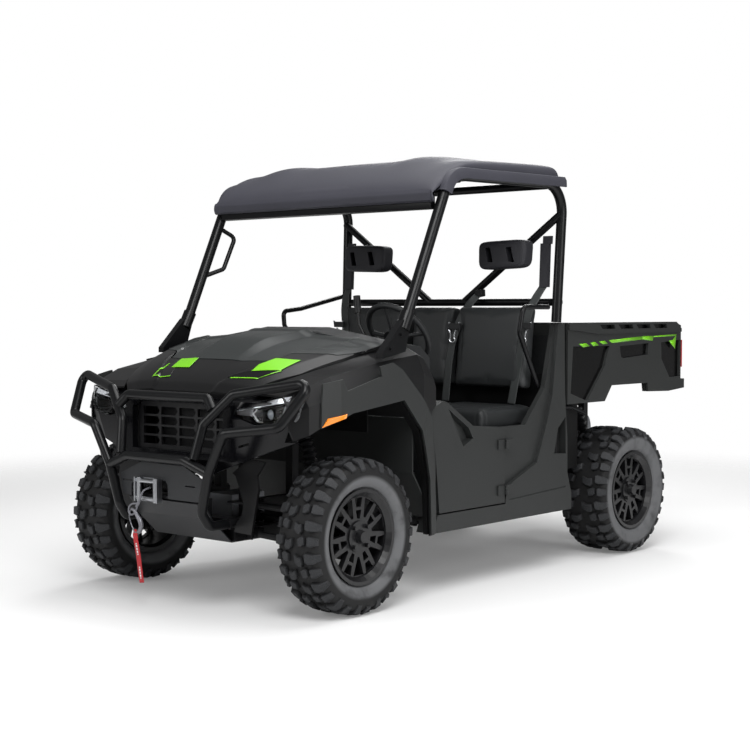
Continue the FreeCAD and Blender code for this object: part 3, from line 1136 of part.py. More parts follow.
# ---- cargo bed -----------------------------------------------------------------------------
def cargoBed():
    body = newBody("CargoBed")
    planPad(body, "Floor", "bedFloor - bedFloorWall", "bedFloorWall", box("bedRear", "bedFront",
            "-bedHalf", "bedHalf"))
    planPad(body, "FrontWall", "bedFloor - 2", "bedTop - bedFloor + 2", box("bedFront - bedWall",
            "bedFront",
            "-bedHalf", "bedHalf"))
    side = [("bedFront", "bedTop"), ("bedSideRear + 62", "bedTop"), ("bedRear + 6", 1176), ("bedRear + 6",
            893),
            ("bedRear - 28", 884), ("bedRear - 22", 845), ("bedRear + 188", 830), ("bedRear + 405", 836),
            ("bedRear + 420", 905), (-870, 885), (-801, "bedSkirt"), ("bedFront", "bedSkirt")]
    rail = [("bedFront", "bedTop"), ("bedSideRear + 62", "bedTop"), ("bedSideRear + 4", 1174),
            ("bedSideRear + 4", 1156),
            (-730, 1152), ("bedFront", 1178)]
    # recesses between the pressed ribs, each as x and z of its corners
    fields = [[(-498, 1092), (-478, 856), (-630, 812), (-797, 985), (-826, 1058), (-845, 1090)],
              [(-944, 1086), (-959, 1028), (-988, 1022), (-1231, 1036), (-1238, 1098)],
              [(-1375, 1100), (-1380, 1010), (-1470, 905), ("bedSideRear + 8", 908), ("bedSideRear + 8",
                      1112)]]
    for name, y in (("Left", "bedHalf - bedWall"), ("Right", "-bedHalf")):
        sidePad(body, "Side" + name, y, "bedWall", side)
    for name, y in (("Left", "bedHalf - 1"), ("Right", "-bedHalf - 9")):
        sidePad(body, "Rail" + name, y, 10, rail)
    for name, outer in (("Left", "bedHalf + 12"), ("Right", "-(bedHalf - 16)")):
        for i, points in enumerate(fields):
            sideCut(body, "Field%s%d" % (name, i), outer, 28, points)
        for i in range(int(d.slotCount)):
            start = -735 - 180 * i
            sideCut(body, "Slot%s%d" % (name, i), outer, 28, [
                (start, 1200), (start - 26, 1178), (start - 150, 1178), (start - 142, 1200)])
    for name, side in (("Left", ""), ("Right", "-")):
        planCut(body, "Corner" + name, 893, 400, [
            ("bedSideRear", side + "692"), ("bedRear - 3", side + "650"), ("bedRear - 60", side + "650"),
            ("bedRear - 60", side + "740"), ("bedSideRear", side + "740")])
        planCut(body, "Heel" + name, 800, 94, [
            ("bedRear + 16", side + "692"), ("bedRear - 33", side + "653"), ("bedRear - 60",
                    side + "653"),
            ("bedRear - 60", side + "740"), ("bedRear + 16", side + "740")])
    # ribs pressed in the floor
    for i in range(5):
        y = -500 + 220 * i
        planCut(body, "Groove%d" % i, "bedFloor - 3", 10, box("bedRear + 60", "bedFront - 90", y,
                y + 120))
    for name, y in (("Left", "railSpacing / 2 + 26"), ("Right", "-(railSpacing / 2 + 36)")):
        sidePad(body, "Ear" + name, y, 10, [("tiltPinX - 34", "bedFloor - 4"), ("tiltPinX - 24",
                "tiltPinLevel - 26"),
                                            ("tiltPinX + 24", "tiltPinLevel - 26"), ("tiltPinX + 34",
                                                    "bedFloor - 4")])
    sideBore(body, "PinHoles", "railSpacing / 2 + 60", "railSpacing + 120", "tiltPinX", "tiltPinLevel",
             "tiltPin + 0.05")
    # gate hinge knuckles and their pin
    for name, y in (("Left", 562), ("Right", -586)):
        sidePad(body, "Knuckle" + name, y, 24, [("bedRear - 18", "bedFloor - 20"), ("bedRear + 2",
                "bedFloor - 20"),
                                                ("bedRear + 2", "bedFloor"), ("bedRear - 18",
                                                        "bedFloor + 6")])
        sideRod(body, "Eye" + name, y, 24, "bedRear - 10", "bedFloor + 6", 8)
    for name, y in (("Left", 500), ("Right", -562)):
        sideRod(body, "Pin" + name, y, 62, "bedRear - 10", "bedFloor + 6", "gatePin")
    node("cargo_bed", body)
    gate = newBody("Tailgate")
    crossPad(gate, "Gate", "bedRear + 2", "gateWall", box("-(bedHalf - bedWall - 8)",
                                                          "bedHalf - bedWall - 8",
             "bedFloor + 6", "bedTop - 10"))
    crossCut(gate, "Panel", "bedRear", 12, [(-560, 960), (560, 960), (520, 1140), (-520, 1140)])
    crossCut(gate, "Handle", "bedRear", 24, box(-90, 90, 1160, 1186))
    for name, y in (("Left", 501), ("Right", -561)):
        sidePad(gate, "Tab" + name, y, 60, box("bedRear - 8", "bedRear + 6", "bedFloor + 6",
                                               "bedFloor + 24"))
        sideRod(gate, "Barrel" + name, y, 60, "bedRear - 10", "bedFloor + 6", 8)
        sideBore(gate, "BarrelHole" + name, "%d + 61" % y, 62, "bedRear - 10", "bedFloor + 6",
                 "gatePin + pinGap")
    node("tailgate", gate)
    lamp = newBody("TailLampLeft")
    planPad(lamp, "Lamp", 960, 150, [("bedSideRear - 4", "bedHalf"), ("bedRear + 6", "bedHalf - 33"),
                                     ("bedRear + 2", "bedHalf - 28"), ("bedSideRear - 8", "bedHalf + 5")])
    node("tail_lamps", lamp, mirrored(lamp, "TailLampRight"))
    hitch = newBody("Hitch")
    crossPad(hitch, "Tube", "frameRear - 60", 200, box("-receiver / 2", "receiver / 2", 350,
                                                       "350 + receiver"))
    crossCut(hitch, "Socket", "frameRear - 61", 180, box("-receiver / 2 + 6.5", "receiver / 2 - 6.5",
                                                         "356.5", "350 + receiver - 6.5"))
    sideBore(hitch, "PinHole", "80", 160, "frameRear - 20", "350 + receiver / 2", "hitchBore / 2")
    node("hitch_receiver", hitch)
    lever = tube([Vector(d.bedFront - 12, 650, 790), Vector(d.bedFront - 70, 668, 786),
                  Vector(d.bedFront - 160, 690, 752)], 9, 20)
    node("bed_lever", solidFeature("BedLever", lever))


def outlineCircle(body, name, role, offset, u, w, radius):
    sketch = body.newObject("Sketcher::SketchObject", name)
    sketch.AttachmentSupport = [(plane(body, role), "")]
    sketch.MapMode = "FlatFace"
    sketch.setExpression("AttachmentOffset.Base.z", bound(offset))
    sketch.addGeometry(Part.Circle(Vector(number(u), number(w), 0), Vector(0, 0, 1), number(radius)),
                       False)
    sketch.addConstraint([Sketcher.Constraint("DistanceX", -1, 1, 0, 3, number(u)),
                          Sketcher.Constraint("DistanceY", -1, 1, 0, 3, number(w)),
                          Sketcher.Constraint("Radius", 0, number(radius))])
    for i, text in enumerate((u, w, radius)):
        sketch.setExpression("Constraints[%d]" % i, bound(text))
    return sketch


for make in (wheels, knuckles, suspension, driveline, mainFrame, skidPlate, floorAndSills, seatBase,
             sidePanels,
             doors, hood, dash, fascia, grille, headlights, fenders, cage, roof, seats, handHolds, belts,
             steering, guard, winch, lowerBumper, cargoBed):
    make()
doc.recompute()

bad = [o.Name for o in doc.Objects if "Invalid" in o.State or "Error" in o.State]
bad += [o.Label for o in NODES if o.Shape.isNull() or not o.Shape.isValid()]
if bad:
    raise RuntimeError("not built: " + ", ".join(bad))
os.makedirs("parts", exist_ok=True)
for made in NODES:
    made.Shape.exportStep("parts/%s.step" % made.Label)
print(len(NODES), "nodes")
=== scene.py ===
import bpy
import bmesh
import math
import numpy as np
from mathutils import Vector, Matrix


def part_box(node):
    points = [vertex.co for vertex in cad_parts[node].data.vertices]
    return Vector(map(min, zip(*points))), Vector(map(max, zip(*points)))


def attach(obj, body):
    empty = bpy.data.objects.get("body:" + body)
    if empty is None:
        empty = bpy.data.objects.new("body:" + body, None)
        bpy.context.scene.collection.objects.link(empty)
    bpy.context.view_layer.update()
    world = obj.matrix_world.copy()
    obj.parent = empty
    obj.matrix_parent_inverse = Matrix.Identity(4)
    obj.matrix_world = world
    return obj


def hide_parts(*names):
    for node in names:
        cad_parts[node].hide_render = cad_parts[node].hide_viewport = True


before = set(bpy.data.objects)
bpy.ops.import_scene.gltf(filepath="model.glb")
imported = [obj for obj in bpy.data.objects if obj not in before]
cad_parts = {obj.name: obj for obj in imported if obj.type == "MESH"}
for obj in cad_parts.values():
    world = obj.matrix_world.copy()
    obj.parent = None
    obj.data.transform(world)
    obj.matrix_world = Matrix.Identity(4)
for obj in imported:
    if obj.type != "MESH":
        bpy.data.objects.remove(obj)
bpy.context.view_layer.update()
print("frame loaded:", len(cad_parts), "nodes")


# shader tools
def fill(tree, node, inputs):
    # each input is typed in, or linked where its value is a socket
    for word, value in inputs.items():
        if isinstance(value, bpy.types.NodeSocket):
            tree.links.new(value, node.inputs[word])
        else:
            node.inputs[word].default_value = value
    return node


def addNode(tree, kind, inputs={}, **settings):
    node = tree.nodes.new("ShaderNode" + kind)
    for word, value in settings.items():
        setattr(node, word, value)
    return fill(tree, node, inputs)


def maths(tree, operation, *values):
    return addNode(tree, "Math", dict(enumerate(values)), operation=operation).outputs[0]


def mixed(tree, factor, first, second):
    # colour that goes from the first to the second as the factor goes from 0 to 1
    first, second = ((*value, 1) if isinstance(value, tuple) else value for value in (first, second))
    return addNode(tree, "Mix", {"Factor": factor, "A": first, "B": second}, data_type="RGBA").outputs["Result"]


def smoothStep(tree, source, low, high):
    # 0 up to low, 1 from high, and a soft S between them
    return addNode(tree, "MapRange", {"Value": source, "From Min": low, "From Max": high},
                   interpolation_type="SMOOTHSTEP").outputs["Result"]


def axes(tree, output):
    return addNode(tree, "SeparateXYZ", {0: addNode(tree, "TexCoord").outputs[output]}).outputs


def shaderOf(made):
    return made.node_tree.nodes["Principled BSDF"]


def sourceOf(made, word):
    return shaderOf(made).inputs[word].links[0].from_socket


def makeGrainGroup():
    # moulded or sprayed grain: a fine noise as height, and a slow noise as mottle
    group = bpy.data.node_groups.new("grain", "ShaderNodeTree")
    for word, way in (("Scale", "INPUT"), ("Mottle Scale", "INPUT"), ("Height", "OUTPUT"), ("Mottle", "OUTPUT")):
        group.interface.new_socket(word, in_out=way, socket_type="NodeSocketFloat")
    given, out = group.nodes.new("NodeGroupInput"), group.nodes.new("NodeGroupOutput")
    place = addNode(group, "TexCoord").outputs["Object"]
    for scale, detail, result in (("Scale", 3, "Height"), ("Mottle Scale", 5, "Mottle")):
        noise = addNode(group, "TexNoise", {"Vector": place, "Scale": given.outputs[scale], "Detail": detail})
        fill(group, out, {result: noise.outputs["Fac"]})
    return group


grainGroup = makeGrainGroup()
relief = {"depth": .0004, "spread": .06}


def finish(name, colour, rough, metallic=0, grain=900, bump=.15, mottle=.12, mottleScale=4, specular=.5, coat=0,
           coatRough=.1, more={}):
    # moulded, sprayed or metal finish: grain as bump; with the slow noise the colour goes down and up by
    # the share mottle, and the roughness by the spread
    made = bpy.data.materials.new(name)
    made.use_nodes = True
    tree = made.node_tree
    texture = addNode(tree, "Group", {"Scale": grain, "Mottle Scale": mottleScale}, node_tree=grainGroup).outputs
    low, high = (tuple(c * share for c in colour) for share in (1 - mottle, 1 + mottle))
    bumps = addNode(tree, "Bump", {"Strength": bump, "Distance": relief["depth"], "Height": texture["Height"]})
    fill(tree, shaderOf(made), {
        "Base Color": mixed(tree, texture["Mottle"], low, high),
        "Roughness": maths(tree, "MULTIPLY_ADD", texture["Mottle"], 2 * relief["spread"], rough - relief["spread"]),
        "Normal": bumps.outputs["Normal"], "Metallic": metallic, "Specular IOR Level": specular,
        "Coat Weight": coat, "Coat Roughness": coatRough, **more})
    return made


finishes = {
    "rubber": finish("tyre rubber", (.03, .03, .032), .62, grain=240, bump=.4, mottle=.25, mottleScale=9),
    "rim": finish("satin black rim", (.008, .008, .009), .3, grain=1500, bump=.08, specular=.45),
    "charcoal": finish("charcoal moulded plastic", (.0215, .023, .0228), .52, grain=1400, bump=.25, specular=.35),
    "hoodBlack": finish("satin black panel", (.0055, .0055, .006), .36, grain=2000, bump=.04, mottle=.06, specular=.28),
    "gloss": finish("gloss black panel", (.004, .004, .005), .2, bump=.02, mottle=.05, specular=.28),
    "cowl": finish("cowl plastic", (.022, .025, .025), .44, grain=1400, bump=.2, mottle=.08, specular=.35),
    "roof": finish("roof plastic", (.046, .046, .058), .58, grain=1400, bump=.22, specular=.25),
    "tube": finish("black powder coat", (.0045, .0047, .0053), .3, grain=1800, bump=.12, specular=.24),
    "chassis": finish("chassis black", (.006, .006, .007), .5, grain=700, bump=.2, mottle=.3, specular=.3),
    "grille": finish("grille plastic", (.012, .012, .013), .36, grain=1200, bump=.1, specular=.4),
    "liner": finish("wheel arch liner", (.0035, .0036, .0038), .55, grain=700, bump=.2, mottle=.1, specular=.2),
    "steel": finish("bare steel", (.45, .46, .48), .32, metallic=1, grain=300, bump=.1, mottle=.1),
    "aluminium": finish("cast aluminium", (.3, .31, .33), .45, metallic=1, grain=500, bump=.3),
    "vinyl": finish("seat vinyl", (.022, .024, .025), .5, grain=650, bump=.35, mottle=.1, specular=.4),
    "webbing": finish("belt webbing", (.034, .038, .038), .6, grain=1200, bump=.4),
    "dash": finish("dash plastic", (.014, .015, .016), .52, grain=1200, bump=.25, specular=.35),
    "plate": finish("winch plate", (.018, .019, .021), .42, grain=1600, bump=.2, specular=.4),
    "hookSteel": finish("forged hook", (.2, .2, .22), .4, metallic=.7, grain=300, bump=.2),
    "rope": finish("winch rope grey", (.16, .16, .18), .6, bump=.5),
    "lens": finish("lamp lens", (.25, .26, .28), .08, bump=0, coat=.6),
    "lampSilver": finish("lamp reflector", (.55, .56, .58), .22, metallic=.8, bump=0, mottle=.04),
    "lampGrey": finish("lamp trim grey", (.16, .165, .17), .3, metallic=.5, bump=.02, mottle=.05),
    "lampGlass": finish("projector glass", (.34, .37, .4), .05, bump=0, mottle=.1, coat=.8, coatRough=.03),
    "clear": finish("clear lens skin", (.92, .93, .94), .02, bump=0, mottle=0, specular=.06,
                    more={"Transmission Weight": 1, "IOR": 1.12}),
    "amber": finish("amber marker", (.95, .27, .01), .16, bump=.02, mottle=.05, coat=.5),
    "green": finish("bright green film", (.175, .56, .006), .32, bump=0, mottle=.04),
    "filmBlack": finish("black film", (.0022, .0022, .0025), .14, bump=0, mottle=.02, specular=.35),
    "bolt": finish("zinc bolt", (.42, .43, .45), .28, metallic=1, grain=600, bump=.05),
    "headrest": finish("headrest skin", (.02, .02, .024), .55, bump=.3, specular=.35),
    "tail": finish("red lens", (.3, .006, .006), .12, bump=0, coat=.5),
}

# the hollow colour is painted shade for the sunken bed fields
bedPaint = {"plane": .674, "reach": .0015, "hollowShade": (.0016, .0016, .0018), "polish": -.3}
strapPaint = {"half": .34, "bars": (.37, .81), "reach": .11, "threads": 18, "gap": .24, "pale": (.72, .7, .7)}


def bedFinish(given):
    # the sunken fields lie on one plane, left and right: where y without its sign is within reach of it, the
    # plastic is painted dark as the shade in those recesses, and smoother by the polish
    made = finish("bed plastic", (.0225, .024, .0236), .5, grain=1400, bump=.25, specular=.35)
    tree = made.node_tree
    mask = maths(tree, "COMPARE", maths(tree, "ABSOLUTE", axes(tree, "Object")["Y"]), given["plane"], given["reach"])
    fill(tree, shaderOf(made), {
        "Base Color": mixed(tree, mask, sourceOf(made, "Base Color"), given["hollowShade"]),
        "Roughness": maths(tree, "MULTIPLY_ADD", mask, given["polish"], sourceOf(made, "Roughness"))})
    return made


def strapFinish(given):
    # red webbing with two plain pale woven bars; across and along come from the strap's own UV. The bars are
    # the product of: near the middle across, near a bar's middle along, and not in the gap between two threads
    made = finish("red strap webbing", (.42, .012, .018), .6, grain=1200, bump=.4)
    tree = made.node_tree
    across, along = axes(tree, "UV")[:2]
    first, second = (maths(tree, "COMPARE", along, bar, given["reach"]) for bar in given["bars"])
    thread = maths(tree, "FRACT", maths(tree, "MULTIPLY", along, given["threads"]))
    mask = maths(tree, "MULTIPLY", maths(tree, "LESS_THAN", maths(tree, "ABSOLUTE", across), given["half"]),
                 maths(tree, "ADD", first, second))
    mask = maths(tree, "MULTIPLY", mask, maths(tree, "GREATER_THAN", thread, given["gap"]))
    fill(tree, shaderOf(made), {"Base Color": mixed(tree, mask, sourceOf(made, "Base Color"), given["pale"])})
    return made


finishes["bed"] = bedFinish(bedPaint)
finishes["strap"] = strapFinish(strapPaint)

# nodes that wear each finish; all others are charcoal
wears = {
    "aluminium": "engine exhaust gearcases", "bed": "cargo_bed", "cowl": "cowl",
    "chassis": "half_shafts knuckle_left knuckle_right main_frame rear_knuckles shocks suspension_arms winch radiator",
    "dash": "dash seat_base steering_column steering_wheel", "gloss": "front_fascia", "grille": "grille",
    "headrest": "headrests belt_sleeves", "hoodBlack": "front_fenders hood lower_bumper", "lens": "headlights",
    "liner": "fender_liners", "plate": "skid_plate winch_plate", "roof": "roof_panel", "rope": "winch_hook",
    "steel": "fairlead", "strap": "hook_strap", "tail": "tail_lamps", "vinyl": "seat_backs seat_cushions",
    "tube": "brush_guard cage_cross cage_sides hand_holds hitch_receiver shift_lever bed_lever",
    "webbing": "seat_belts",
}
worn = {node: word for word, nodes in wears.items() for node in nodes.split()}
for node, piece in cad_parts.items():
    byKind = {"tyre": "rubber", "rim": "rim"}.get(node.split("_")[0], "charcoal")
    piece.data.materials.clear()
    piece.data.materials.append(finishes[worn.get(node, byKind)])
print("finishes placed")

# mesh tools
sides = ((1, "left"), (-1, "right"))
edges = {"sharp": math.radians(40), "merge": 1e-6}
tube = {"smoothing": 6, "guides": ([.13, .21, .97], [.97, .21, .13]), "steep": .8}


def linked(name, data):
    made = bpy.data.objects.new(name, data)
    bpy.context.scene.collection.objects.link(made)
    return made


def joined(*parts):
    # one array of points, or of pairs, from their coordinates
    return np.stack(np.broadcast_arrays(*parts), -1)


def addMesh(name, points, faces, word, body="chassis", smooth=True, uv=None):
    # points as an array of corners, faces as lists of indices; uv is one pair per point
    mesh = bpy.data.meshes.new(name)
    mesh.from_pydata(np.asarray(points).reshape(-1, 3).tolist(), [], [list(map(int, face)) for face in faces])
    if uv is not None:
        layer = mesh.uv_layers.new(name="UVMap")
        corners = np.zeros(len(mesh.loops), dtype=np.int32)
        mesh.loops.foreach_get("vertex_index", corners)
        layer.data.foreach_set("uv", np.asarray(uv).reshape(-1, 2)[corners].ravel())
    mesh.polygons.foreach_set("use_smooth", [smooth] * len(mesh.polygons))
    if smooth:
        mesh.set_sharp_from_angle(angle=edges["sharp"])
    made = linked(name, mesh)
    mesh.materials.append(finishes[word])
    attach(made, body)
    return made


def gridFaces(rows, columns, closeRows=False, closeColumns=False, start=0):
    # quads of a grid of points, row by row
    i = np.arange(rows if closeRows else rows - 1)[:, None]
    k = np.arange(columns if closeColumns else columns - 1)[None, :]
    here, below, beside = i * columns, (i + 1) % rows * columns, (k + 1) % columns
    return (joined(here + k, below + k, below + beside, here + beside).reshape(-1, 4) + start).tolist()


def tubeFaces(rows, columns):
    # quads round a tube of rings, and a face on both ends
    last = rows * columns - 1
    ends = [list(range(columns)), list(range(last, last - columns, -1))]
    return gridFaces(rows, columns, closeColumns=True) + ends


def bevelled(made, width, segments=2, angle=35):
    edge = made.modifiers.new("edges", "BEVEL")
    edge.width = width
    edge.segments = segments
    edge.limit_method = "ANGLE"
    edge.angle_limit = math.radians(angle)
    edge.harden_normals = True
    return made


def walled(made, thickness, offset=-1):
    wall = made.modifiers.new("wall", "SOLIDIFY")
    wall.thickness = thickness
    wall.offset = offset
    return made


def outwards(made, merge=True):
    # recalculated so that every face looks out
    shape = bmesh.new()
    shape.from_mesh(made.data)
    if merge:
        bmesh.ops.remove_doubles(shape, verts=shape.verts, dist=edges["merge"])
    bmesh.ops.recalc_face_normals(shape, faces=shape.faces)
    shape.to_mesh(made.data)
    shape.free()
    return made


def readPoints(made):
    place = np.zeros(len(made.data.vertices) * 3, dtype=np.float32)
    made.data.vertices.foreach_get("co", place)
    return place.reshape(-1, 3)


def writePoints(made, place):
    made.data.vertices.foreach_set("co", place.astype(np.float32).ravel())
    made.data.update()


def applyAll(made):
    # the shape with its modifiers becomes the mesh; its material stays
    graph = bpy.context.evaluated_depsgraph_get()
    fresh = bpy.data.meshes.new_from_object(made.evaluated_get(graph))
    kept = list(made.data.materials)
    made.modifiers.clear()
    made.data = fresh
    fresh.materials.clear()
    for paint in kept:
        fresh.materials.append(paint)
    fresh.polygons.foreach_set("material_index", [0] * len(fresh.polygons))


def unit(vectors):
    return vectors / np.linalg.norm(vectors, axis=-1, keepdims=True)


def bell(count):
    # weights of a running mean, highest in the middle; together they are 1
    weights = np.hanning(count)[1:-1]
    return weights / weights.sum()


def runOf(line):
    # distance along a broken line up to each corner
    return np.concatenate([[0], np.cumsum(np.linalg.norm(np.diff(line, axis=0), axis=1))])


def pointsAt(line, at, run):
    return joined(*(np.interp(at, run, column) for column in np.transpose(line)))


def circle(count):
    # turns of evenly spaced points round a circle
    return np.linspace(0, 2 * np.pi, count, endpoint=False)


def mirrored(points, side):
    # unchanged on the left, where side is 1, and with y turned round on the right, where it is -1
    return points * np.array([1, side, 1])


def unitGrid(rows, columns):
    return np.meshgrid(np.linspace(0, 1, rows), np.linspace(0, 1, columns), indexing="ij")


def blended(corners, across, up):
    # evenly blended point between four corners, each weighted by how near it is across and up
    a, b, c, e = (np.array(corner, float) for corner in corners)
    s, t = across[..., None], up[..., None]
    return a * (1 - s) * (1 - t) + b * s * (1 - t) + c * s * t + e * (1 - s) * t


def prism(name, outline, low, high, axis, word, bevel=0):
    # flat outline pushed along one axis; outline holds the two other coordinates in order
    rings = np.stack([np.insert(np.asarray(outline, float), axis, level, 1) for level in (low, high)])
    made = outwards(addMesh(name, rings, tubeFaces(2, len(outline)), word, smooth=bevel > 0))
    return bevelled(made, bevel) if bevel else made


def pathTube(name, points, radius, word, sides=12, closed=False):
    # round bar along a smooth line through the points: Catmull-Rom line, then rings square to it; one radius
    # or a list of radii from end to end
    knots = np.asarray(points, float)
    before, after = 2 * knots[:1] - knots[1:2], 2 * knots[-1:] - knots[-2:-1]
    padded = np.concatenate([knots[-1:], knots, knots[:2]] if closed else [before, knots, after])
    t = np.linspace(0, 1, tube["smoothing"], endpoint=False)[:, None, None]
    a, b, c, e = (padded[k:len(padded) - 3 + k][None] for k in range(4))
    line = .5 * (2 * b + (c - a) * t + (2 * a - 5 * b + 4 * c - e) * t ** 2 + (3 * b - a - 3 * c + e) * t ** 3)
    line = line.transpose(1, 0, 2).reshape(-1, 3)
    if not closed:
        line = np.concatenate([line, knots[-1:]])
    along = np.roll(line, -1, 0) - np.roll(line, 1, 0)
    if not closed:
        along[0], along[-1] = line[1] - line[0], line[-1] - line[-2]
    along = unit(along)
    side = unit(np.cross(along, np.array(tube["guides"][int(abs(along[:, 2]).mean() >= tube["steep"])])))
    up = np.cross(side, along)
    turn = circle(sides)[None, :, None]
    thick = np.interp(np.linspace(0, 1, len(line)), np.linspace(0, 1, np.size(radius)), np.atleast_1d(radius))
    rings = line[:, None] + thick[:, None, None] * (np.cos(turn) * side[:, None] + np.sin(turn) * up[:, None])
    faces = gridFaces(len(line), sides, closeRows=closed, closeColumns=True)
    if not closed:
        last = (len(line) - 1) * sides
        faces += [list(range(sides))[::-1], list(range(last, last + sides))]
    return outwards(addMesh(name, rings, faces, word))


# tyres
tyre = {"radius": .33, "lug": .017, "pitches": 15, "rings": 120, "corner": .034, "round": .86, "crown": .006,
        "inset": .004, "clear": .0005, "least": .001, "sharp": 38, "carcass": -.3, "steps": (8, 7),
        # sidewall down to the bead: out from half the width, and radius; then the inner corner
        "wall": [(.001, .262), (0, .243), (-.006, .225), (-.018, .211), (-.03, .2075), (-.0325, .205)],
        "inner": (.002, .2),
        # height of a block by the distance along the profile: from half the width, and height
        "fade": [(-.03, .017), (.004, .01), (.03, .004)],
        # rings of a block from foot to top: share of its height, and of its size
        "heights": [(-.004, 1.06), (.45, 1), (.86, .93), (1, .84)],
        # blocks of one side: distance from the middle in mm and share of the pitch, for half a tyre this wide;
        # inside the span they spread with the width, outside it they move with it
        "half": .1145, "span": 40,
        "blocks": [
            [(4, .06), (22, .14), (40, .12), (44, .34), (36, .44), (20, .42), (4, .3)],
            [(26, .56), (46, .48), (60, .52), (62, .72), (46, .8), (30, .8)],
            [(54, .02), (66, -.02), (92, .02), (126, .05), (129, .27), (96, .32), (72, .34), (56, .28)],
            [(72, .5), (84, .47), (116, .52), (117, .74), (90, .8), (74, .78)],
        ],
        # the groove colour is painted shade: dark in the grooves, at the foot of each block and at the bead
        "paint": {"grooveShade": (.006, .006, .0065), "block": (.017, .018, .02), "worn": (.036, .037, .04),
                  "dust": (.12, .122, .127), "rise": (.1, .95), "top": (.8, .99), "speck": (.35, .75),
                  "wall": (.142, .164), "patches": (.1, .55), "bead": (.236, .248)}}


def rubberFinish(given):
    # UV: across is the height on a block, along is the distance from the middle of the tread.
    # grooves and the foot of each block take a painted shade, block tops are worn paler, the sidewall is dusty and
    # fades to the same painted shade at the bead
    made = finish("dusty tyre rubber with painted shade", given["block"], .68, grain=240, bump=.35, mottle=.1, mottleScale=11,
                  specular=.35)
    tree = made.node_tree
    texture = next(node for node in tree.nodes if node.type == "GROUP").outputs
    height, run = axes(tree, "UV")[:2]
    step = lambda source, word: smoothStep(tree, source, *given[word])
    colour = mixed(tree, step(height, "rise"), given["grooveShade"], given["block"])
    scuffed = maths(tree, "MULTIPLY", step(height, "top"), step(texture["Height"], "speck"))
    dusty = maths(tree, "MULTIPLY", step(run, "wall"), step(texture["Mottle"], "patches"))
    for mask, word in ((scuffed, "worn"), (dusty, "dust"), (step(run, "bead"), "grooveShade")):
        colour = mixed(tree, mask, colour, given[word])
    fill(tree, shaderOf(made), {"Base Color": colour})
    return made


finishes["rubber"] = rubberFinish(tyre["paint"])


def tyreProfile(width):
    # half of the carcass from the middle line out, over the shoulder and down to the bead: y and radius
    half, corner, tread = width / 2 - tyre["inset"], tyre["corner"], tyre["radius"] - tyre["lug"]
    flatSteps, roundSteps = tyre["steps"]
    turn = np.linspace(0, np.pi / 2 * tyre["round"], roundSteps)
    wall = np.array(tyre["wall"])
    flat = np.linspace(0, half - corner, flatSteps)[:-1]
    y = np.concatenate([flat, half - corner + corner * np.sin(turn), half + wall[:, 0]])
    r = np.concatenate([np.full(len(flat), tread), tread - corner + corner * np.cos(turn), wall[:, 1]])
    # the tread falls by the crown with the square of the distance from the middle
    return y, r - tyre["crown"] * (np.minimum(y, half - corner) / half) ** 2 * (r > wall[0, 1])


def addTyre(corner):
    low, high = (np.array(p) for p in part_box("tyre_" + corner))
    half = (high[1] - low[1]) / 2
    y, r = tyreProfile(high[1] - low[1])
    run = runOf(np.stack([y, r], 1))
    # normal of the profile: its direction, turned a quarter
    dy, dr = np.gradient(y, run), np.gradient(r, run)
    ny, nr = -dr / np.hypot(dy, dr), dy / np.hypot(dy, dr)
    # closed section: both halves, then the two inner corners
    step, inner = tyre["inner"]
    loopY = np.concatenate([-y[:0:-1], y, [y[-1] - step, step - y[-1]]])
    loopR = np.concatenate([r[:0:-1], r, [inner, inner]])
    loopV = np.concatenate([run[:0:-1], run, [run[-1], run[-1]]])
    count, pitches = tyre["rings"], tyre["pitches"]
    turn = circle(count)[:, None]
    grid = joined(loopR * np.sin(turn), loopY, loopR * np.cos(turn))
    points = [grid.reshape(-1, 3)]
    pairs = [joined(np.full((count, 1), tyre["carcass"]), loopV).reshape(-1, 2)]
    faces = gridFaces(count, len(loopY), closeRows=True, closeColumns=True)
    start = count * len(loopY)
    # blocks: rings laid on the profile and raised along its normal, once for each pitch
    widen = (half - tyre["half"]) * 1000
    height, scale = np.array(tyre["heights"]).T[:, :, None]
    lugAt, lug = np.array([(-half, tyre["lug"]), *tyre["fade"]]).T
    for side in (1, -1):
        for block in tyre["blocks"]:
            shape = np.array(block, float)
            shape[:, 0] = (shape[:, 0] + widen * np.minimum(1, shape[:, 0] / tyre["span"])) / 1000
            middle, wide = shape.mean(0), len(shape)
            flat = middle + (shape - middle) * scale[..., None]
            at = np.clip(flat[..., 0], tyre["least"], run[-1])
            rise = np.interp(at, half + lugAt, lug) * height
            out = side * np.minimum(np.interp(at, run, y) + rise * np.interp(at, run, ny), half - tyre["clear"])
            reach = np.interp(at, run, r) + rise * np.interp(at, run, nr)
            angle = (np.arange(pitches)[:, None, None] + flat[..., 1] + (.5 if side < 0 else 0)) * 2 * np.pi / pitches
            rings = joined(reach * np.sin(angle), out, reach * np.cos(angle))
            points.append(rings.reshape(-1, 3))
            shades = joined(np.maximum(height, 0), shape[:, 0]).reshape(-1, 2)
            pairs.append(np.tile(shades, (pitches, 1)))
            for _ in range(pitches):
                faces += gridFaces(len(height), wide, closeColumns=True, start=start)
                start += len(height) * wide
                faces.append(list(range(start - wide, start)))
    place = np.concatenate(points)
    keep = np.minimum(1, (tyre["radius"] - tyre["clear"]) / np.hypot(place[:, 0], place[:, 2]))
    place[:, 0] *= keep
    place[:, 2] *= keep
    made = addMesh("tread_" + corner, place + (low + high) / 2, faces, "rubber", "wheel_" + corner,
                   uv=np.concatenate(pairs))
    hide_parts("tyre_" + corner)
    outwards(made, merge=False)
    made.data.set_sharp_from_angle(angle=math.radians(tyre["sharp"]))


for corner in ("front_left", "front_right", "rear_left", "rear_right"):
    addTyre(corner)
print("tyres treaded")

